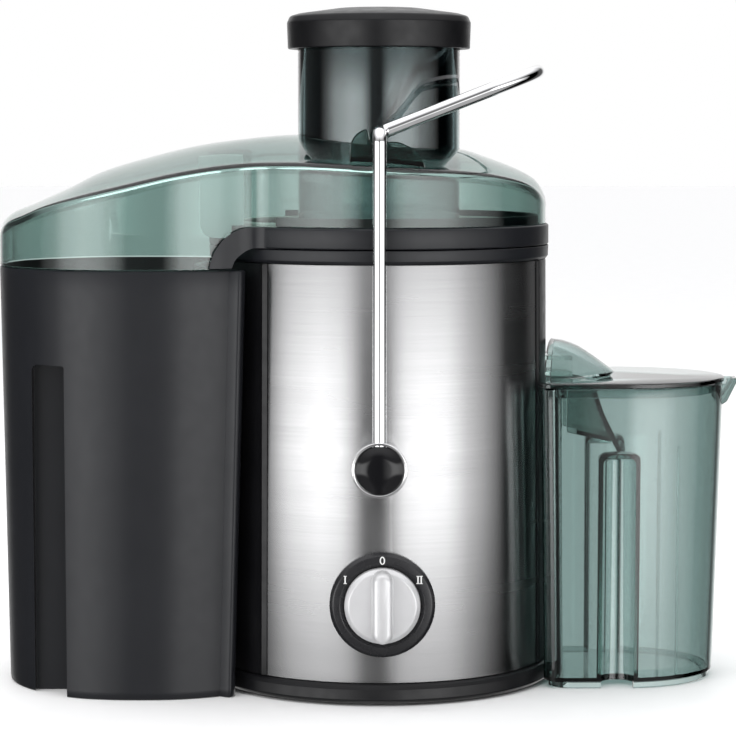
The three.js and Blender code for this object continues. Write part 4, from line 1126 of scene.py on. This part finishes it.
def ramp_of(tree, value, stops):
    """A row of grey levels against an angle in degrees, where 0 is the user's side and 90 the jug's."""
    ramp = tree.nodes.new("ShaderNodeValToRGB")
    row = ramp.color_ramp.elements
    places = [(degrees + 180) / 360 for degrees, _ in stops]
    greys = [(level, level, level, 1) for _, level in stops]
    row[0].position, row[1].position = places[0], places[-1]
    row[0].color, row[1].color = greys[0], greys[-1]
    for place, grey in zip(places[1:-1], greys[1:-1]):
        row.new(place).color = grey
    tree.links.new(value, ramp.inputs["Fac"])
    return ramp.outputs["Color"]


def reckoned(tree, operation, first, second):
    """The result of one Math node. The second value is a socket or a number."""
    node = tree.nodes.new("ShaderNodeMath")
    node.operation = operation
    tree.links.new(first, node.inputs[0])
    if isinstance(second, float):
        node.inputs[1].default_value = second
    elif second is not None:
        tree.links.new(second, node.inputs[1])
    return node.outputs[0]


def blended(tree, blend, factor, first, second):
    """The result of one colour Mix node. The factor and the second colour are sockets or constants."""
    node = tree.nodes.new("ShaderNodeMix")
    node.data_type = "RGBA"
    node.blend_type = blend
    colours = [s for s in node.inputs if s.type == "RGBA"]
    tree.links.new(first, colours[0])
    if isinstance(factor, float):
        node.inputs["Factor"].default_value = factor
    else:
        tree.links.new(factor, node.inputs["Factor"])
    if isinstance(second, tuple):
        colours[1].default_value = second
    else:
        tree.links.new(second, colours[1])
    return next(s for s in node.outputs if s.type == "RGBA")


def studio_world():
    """White paper behind, two tall soft boxes in front with a dim gap between, and a soft box overhead."""
    world = bpy.data.worlds.new("studio")
    bpy.context.scene.world = world
    world.use_nodes = True
    tree = world.node_tree
    tree.nodes.clear()
    link = tree.links.new
    where = tree.nodes.new("ShaderNodeTexCoord")
    parts = tree.nodes.new("ShaderNodeSeparateXYZ")
    link(where.outputs["Generated"], parts.inputs["Vector"])
    height = parts.outputs["Z"]
    forward = reckoned(tree, "MULTIPLY", parts.outputs["Y"], -1.0)
    turn = reckoned(tree, "ARCTAN2", parts.outputs["X"], forward)
    share = set_up(tree.nodes.new("ShaderNodeMapRange"), {"From Min": -math.pi, "From Max": math.pi})
    link(turn, share.inputs["Value"])
    around = ramp_of(tree, share.outputs["Result"], [
        (-180, 0.62), (-158, 0.62), (-146, 0.06), (-95, 0.03), (-78, 0.1), (-62, 0.28), (-20, 0.3),
        (-11, 0.14), (0, 0.1), (6, 0.14), (14, 0.3), (60, 0.26), (78, 0.1), (90, 0.0), (120, 0.0),
        (130, 0.06), (144, 0.07), (158, 0.62), (180, 0.62),
    ])
    boxes = ramp_of(tree, share.outputs["Result"], [
        (-180, 0.0), (-92, 0.0), (-80, 0.2), (-66, 0.6), (-40, 1.0), (-26, 0.85), (-10, 0.0), (3, 0.0),
        (18, 0.85), (30, 1.0), (46, 0.9), (62, 0.4), (80, 0.2), (90, 0.1), (95, 0.0), (180, 0.0),
    ])
    core = tree.nodes.new("ShaderNodeMapRange")
    core.interpolation_type = "SMOOTHSTEP"
    set_up(core, {"From Min": 0.27, "From Max": 0.13, "To Max": 2.15})
    away = reckoned(tree, "ABSOLUTE", reckoned(tree, "ADD", height, 0.05), None)
    link(away, core.inputs["Value"])
    high = set_up(tree.nodes.new("ShaderNodeMapRange"), {"From Min": 0.35, "From Max": 0.75})
    link(height, high.inputs["Value"])
    fronts = blended(tree, "MULTIPLY", 1.0, boxes, core.outputs["Result"])
    walls = blended(tree, "ADD", 1.0, around, fronts)
    colour = blended(tree, "MIX", high.outputs["Result"], walls, (0.85, 0.85, 0.86, 1))
    light = set_up(tree.nodes.new("ShaderNodeBackground"), {"Strength": 1.6})
    link(colour, light.inputs["Color"])
    paper = set_up(tree.nodes.new("ShaderNodeBackground"), {"Color": (1, 1, 1, 1)})
    path = tree.nodes.new("ShaderNodeLightPath")
    choose = tree.nodes.new("ShaderNodeMixShader")
    out = tree.nodes.new("ShaderNodeOutputWorld")
    link(path.outputs["Is Camera Ray"], choose.inputs[0])
    link(light.outputs[0], choose.inputs[1])
    link(paper.outputs[0], choose.inputs[2])
    link(choose.outputs[0], out.inputs["Surface"])


def soft_light(name, at, to, size, power):
    """A lamp that lights the pieces but isn't seen in them. The studio's world makes the reflections."""
    data = bpy.data.lights.new(name, "AREA")
    data.shape = "RECTANGLE"
    data.size, data.size_y = size
    data.energy = power
    lamp = bpy.data.objects.new(name, data)
    lamp.location = at
    lamp.rotation_euler = (Vector(to) - Vector(at)).to_track_quat("-Z", "Y").to_euler()
    lamp.visible_glossy = False
    bpy.context.scene.collection.objects.link(lamp)


studio_world()
soft_light("overhead", (-0.2, -0.1, 1.6), (0, 0, 0.2), (1.6, 1.2), 14)
soft_light("front_left", (-1.5, -1.6, 1.0), (-0.05, 0, 0.15), (0.9, 1.3), 10)
bpy.context.scene.view_settings.view_transform = "Standard"
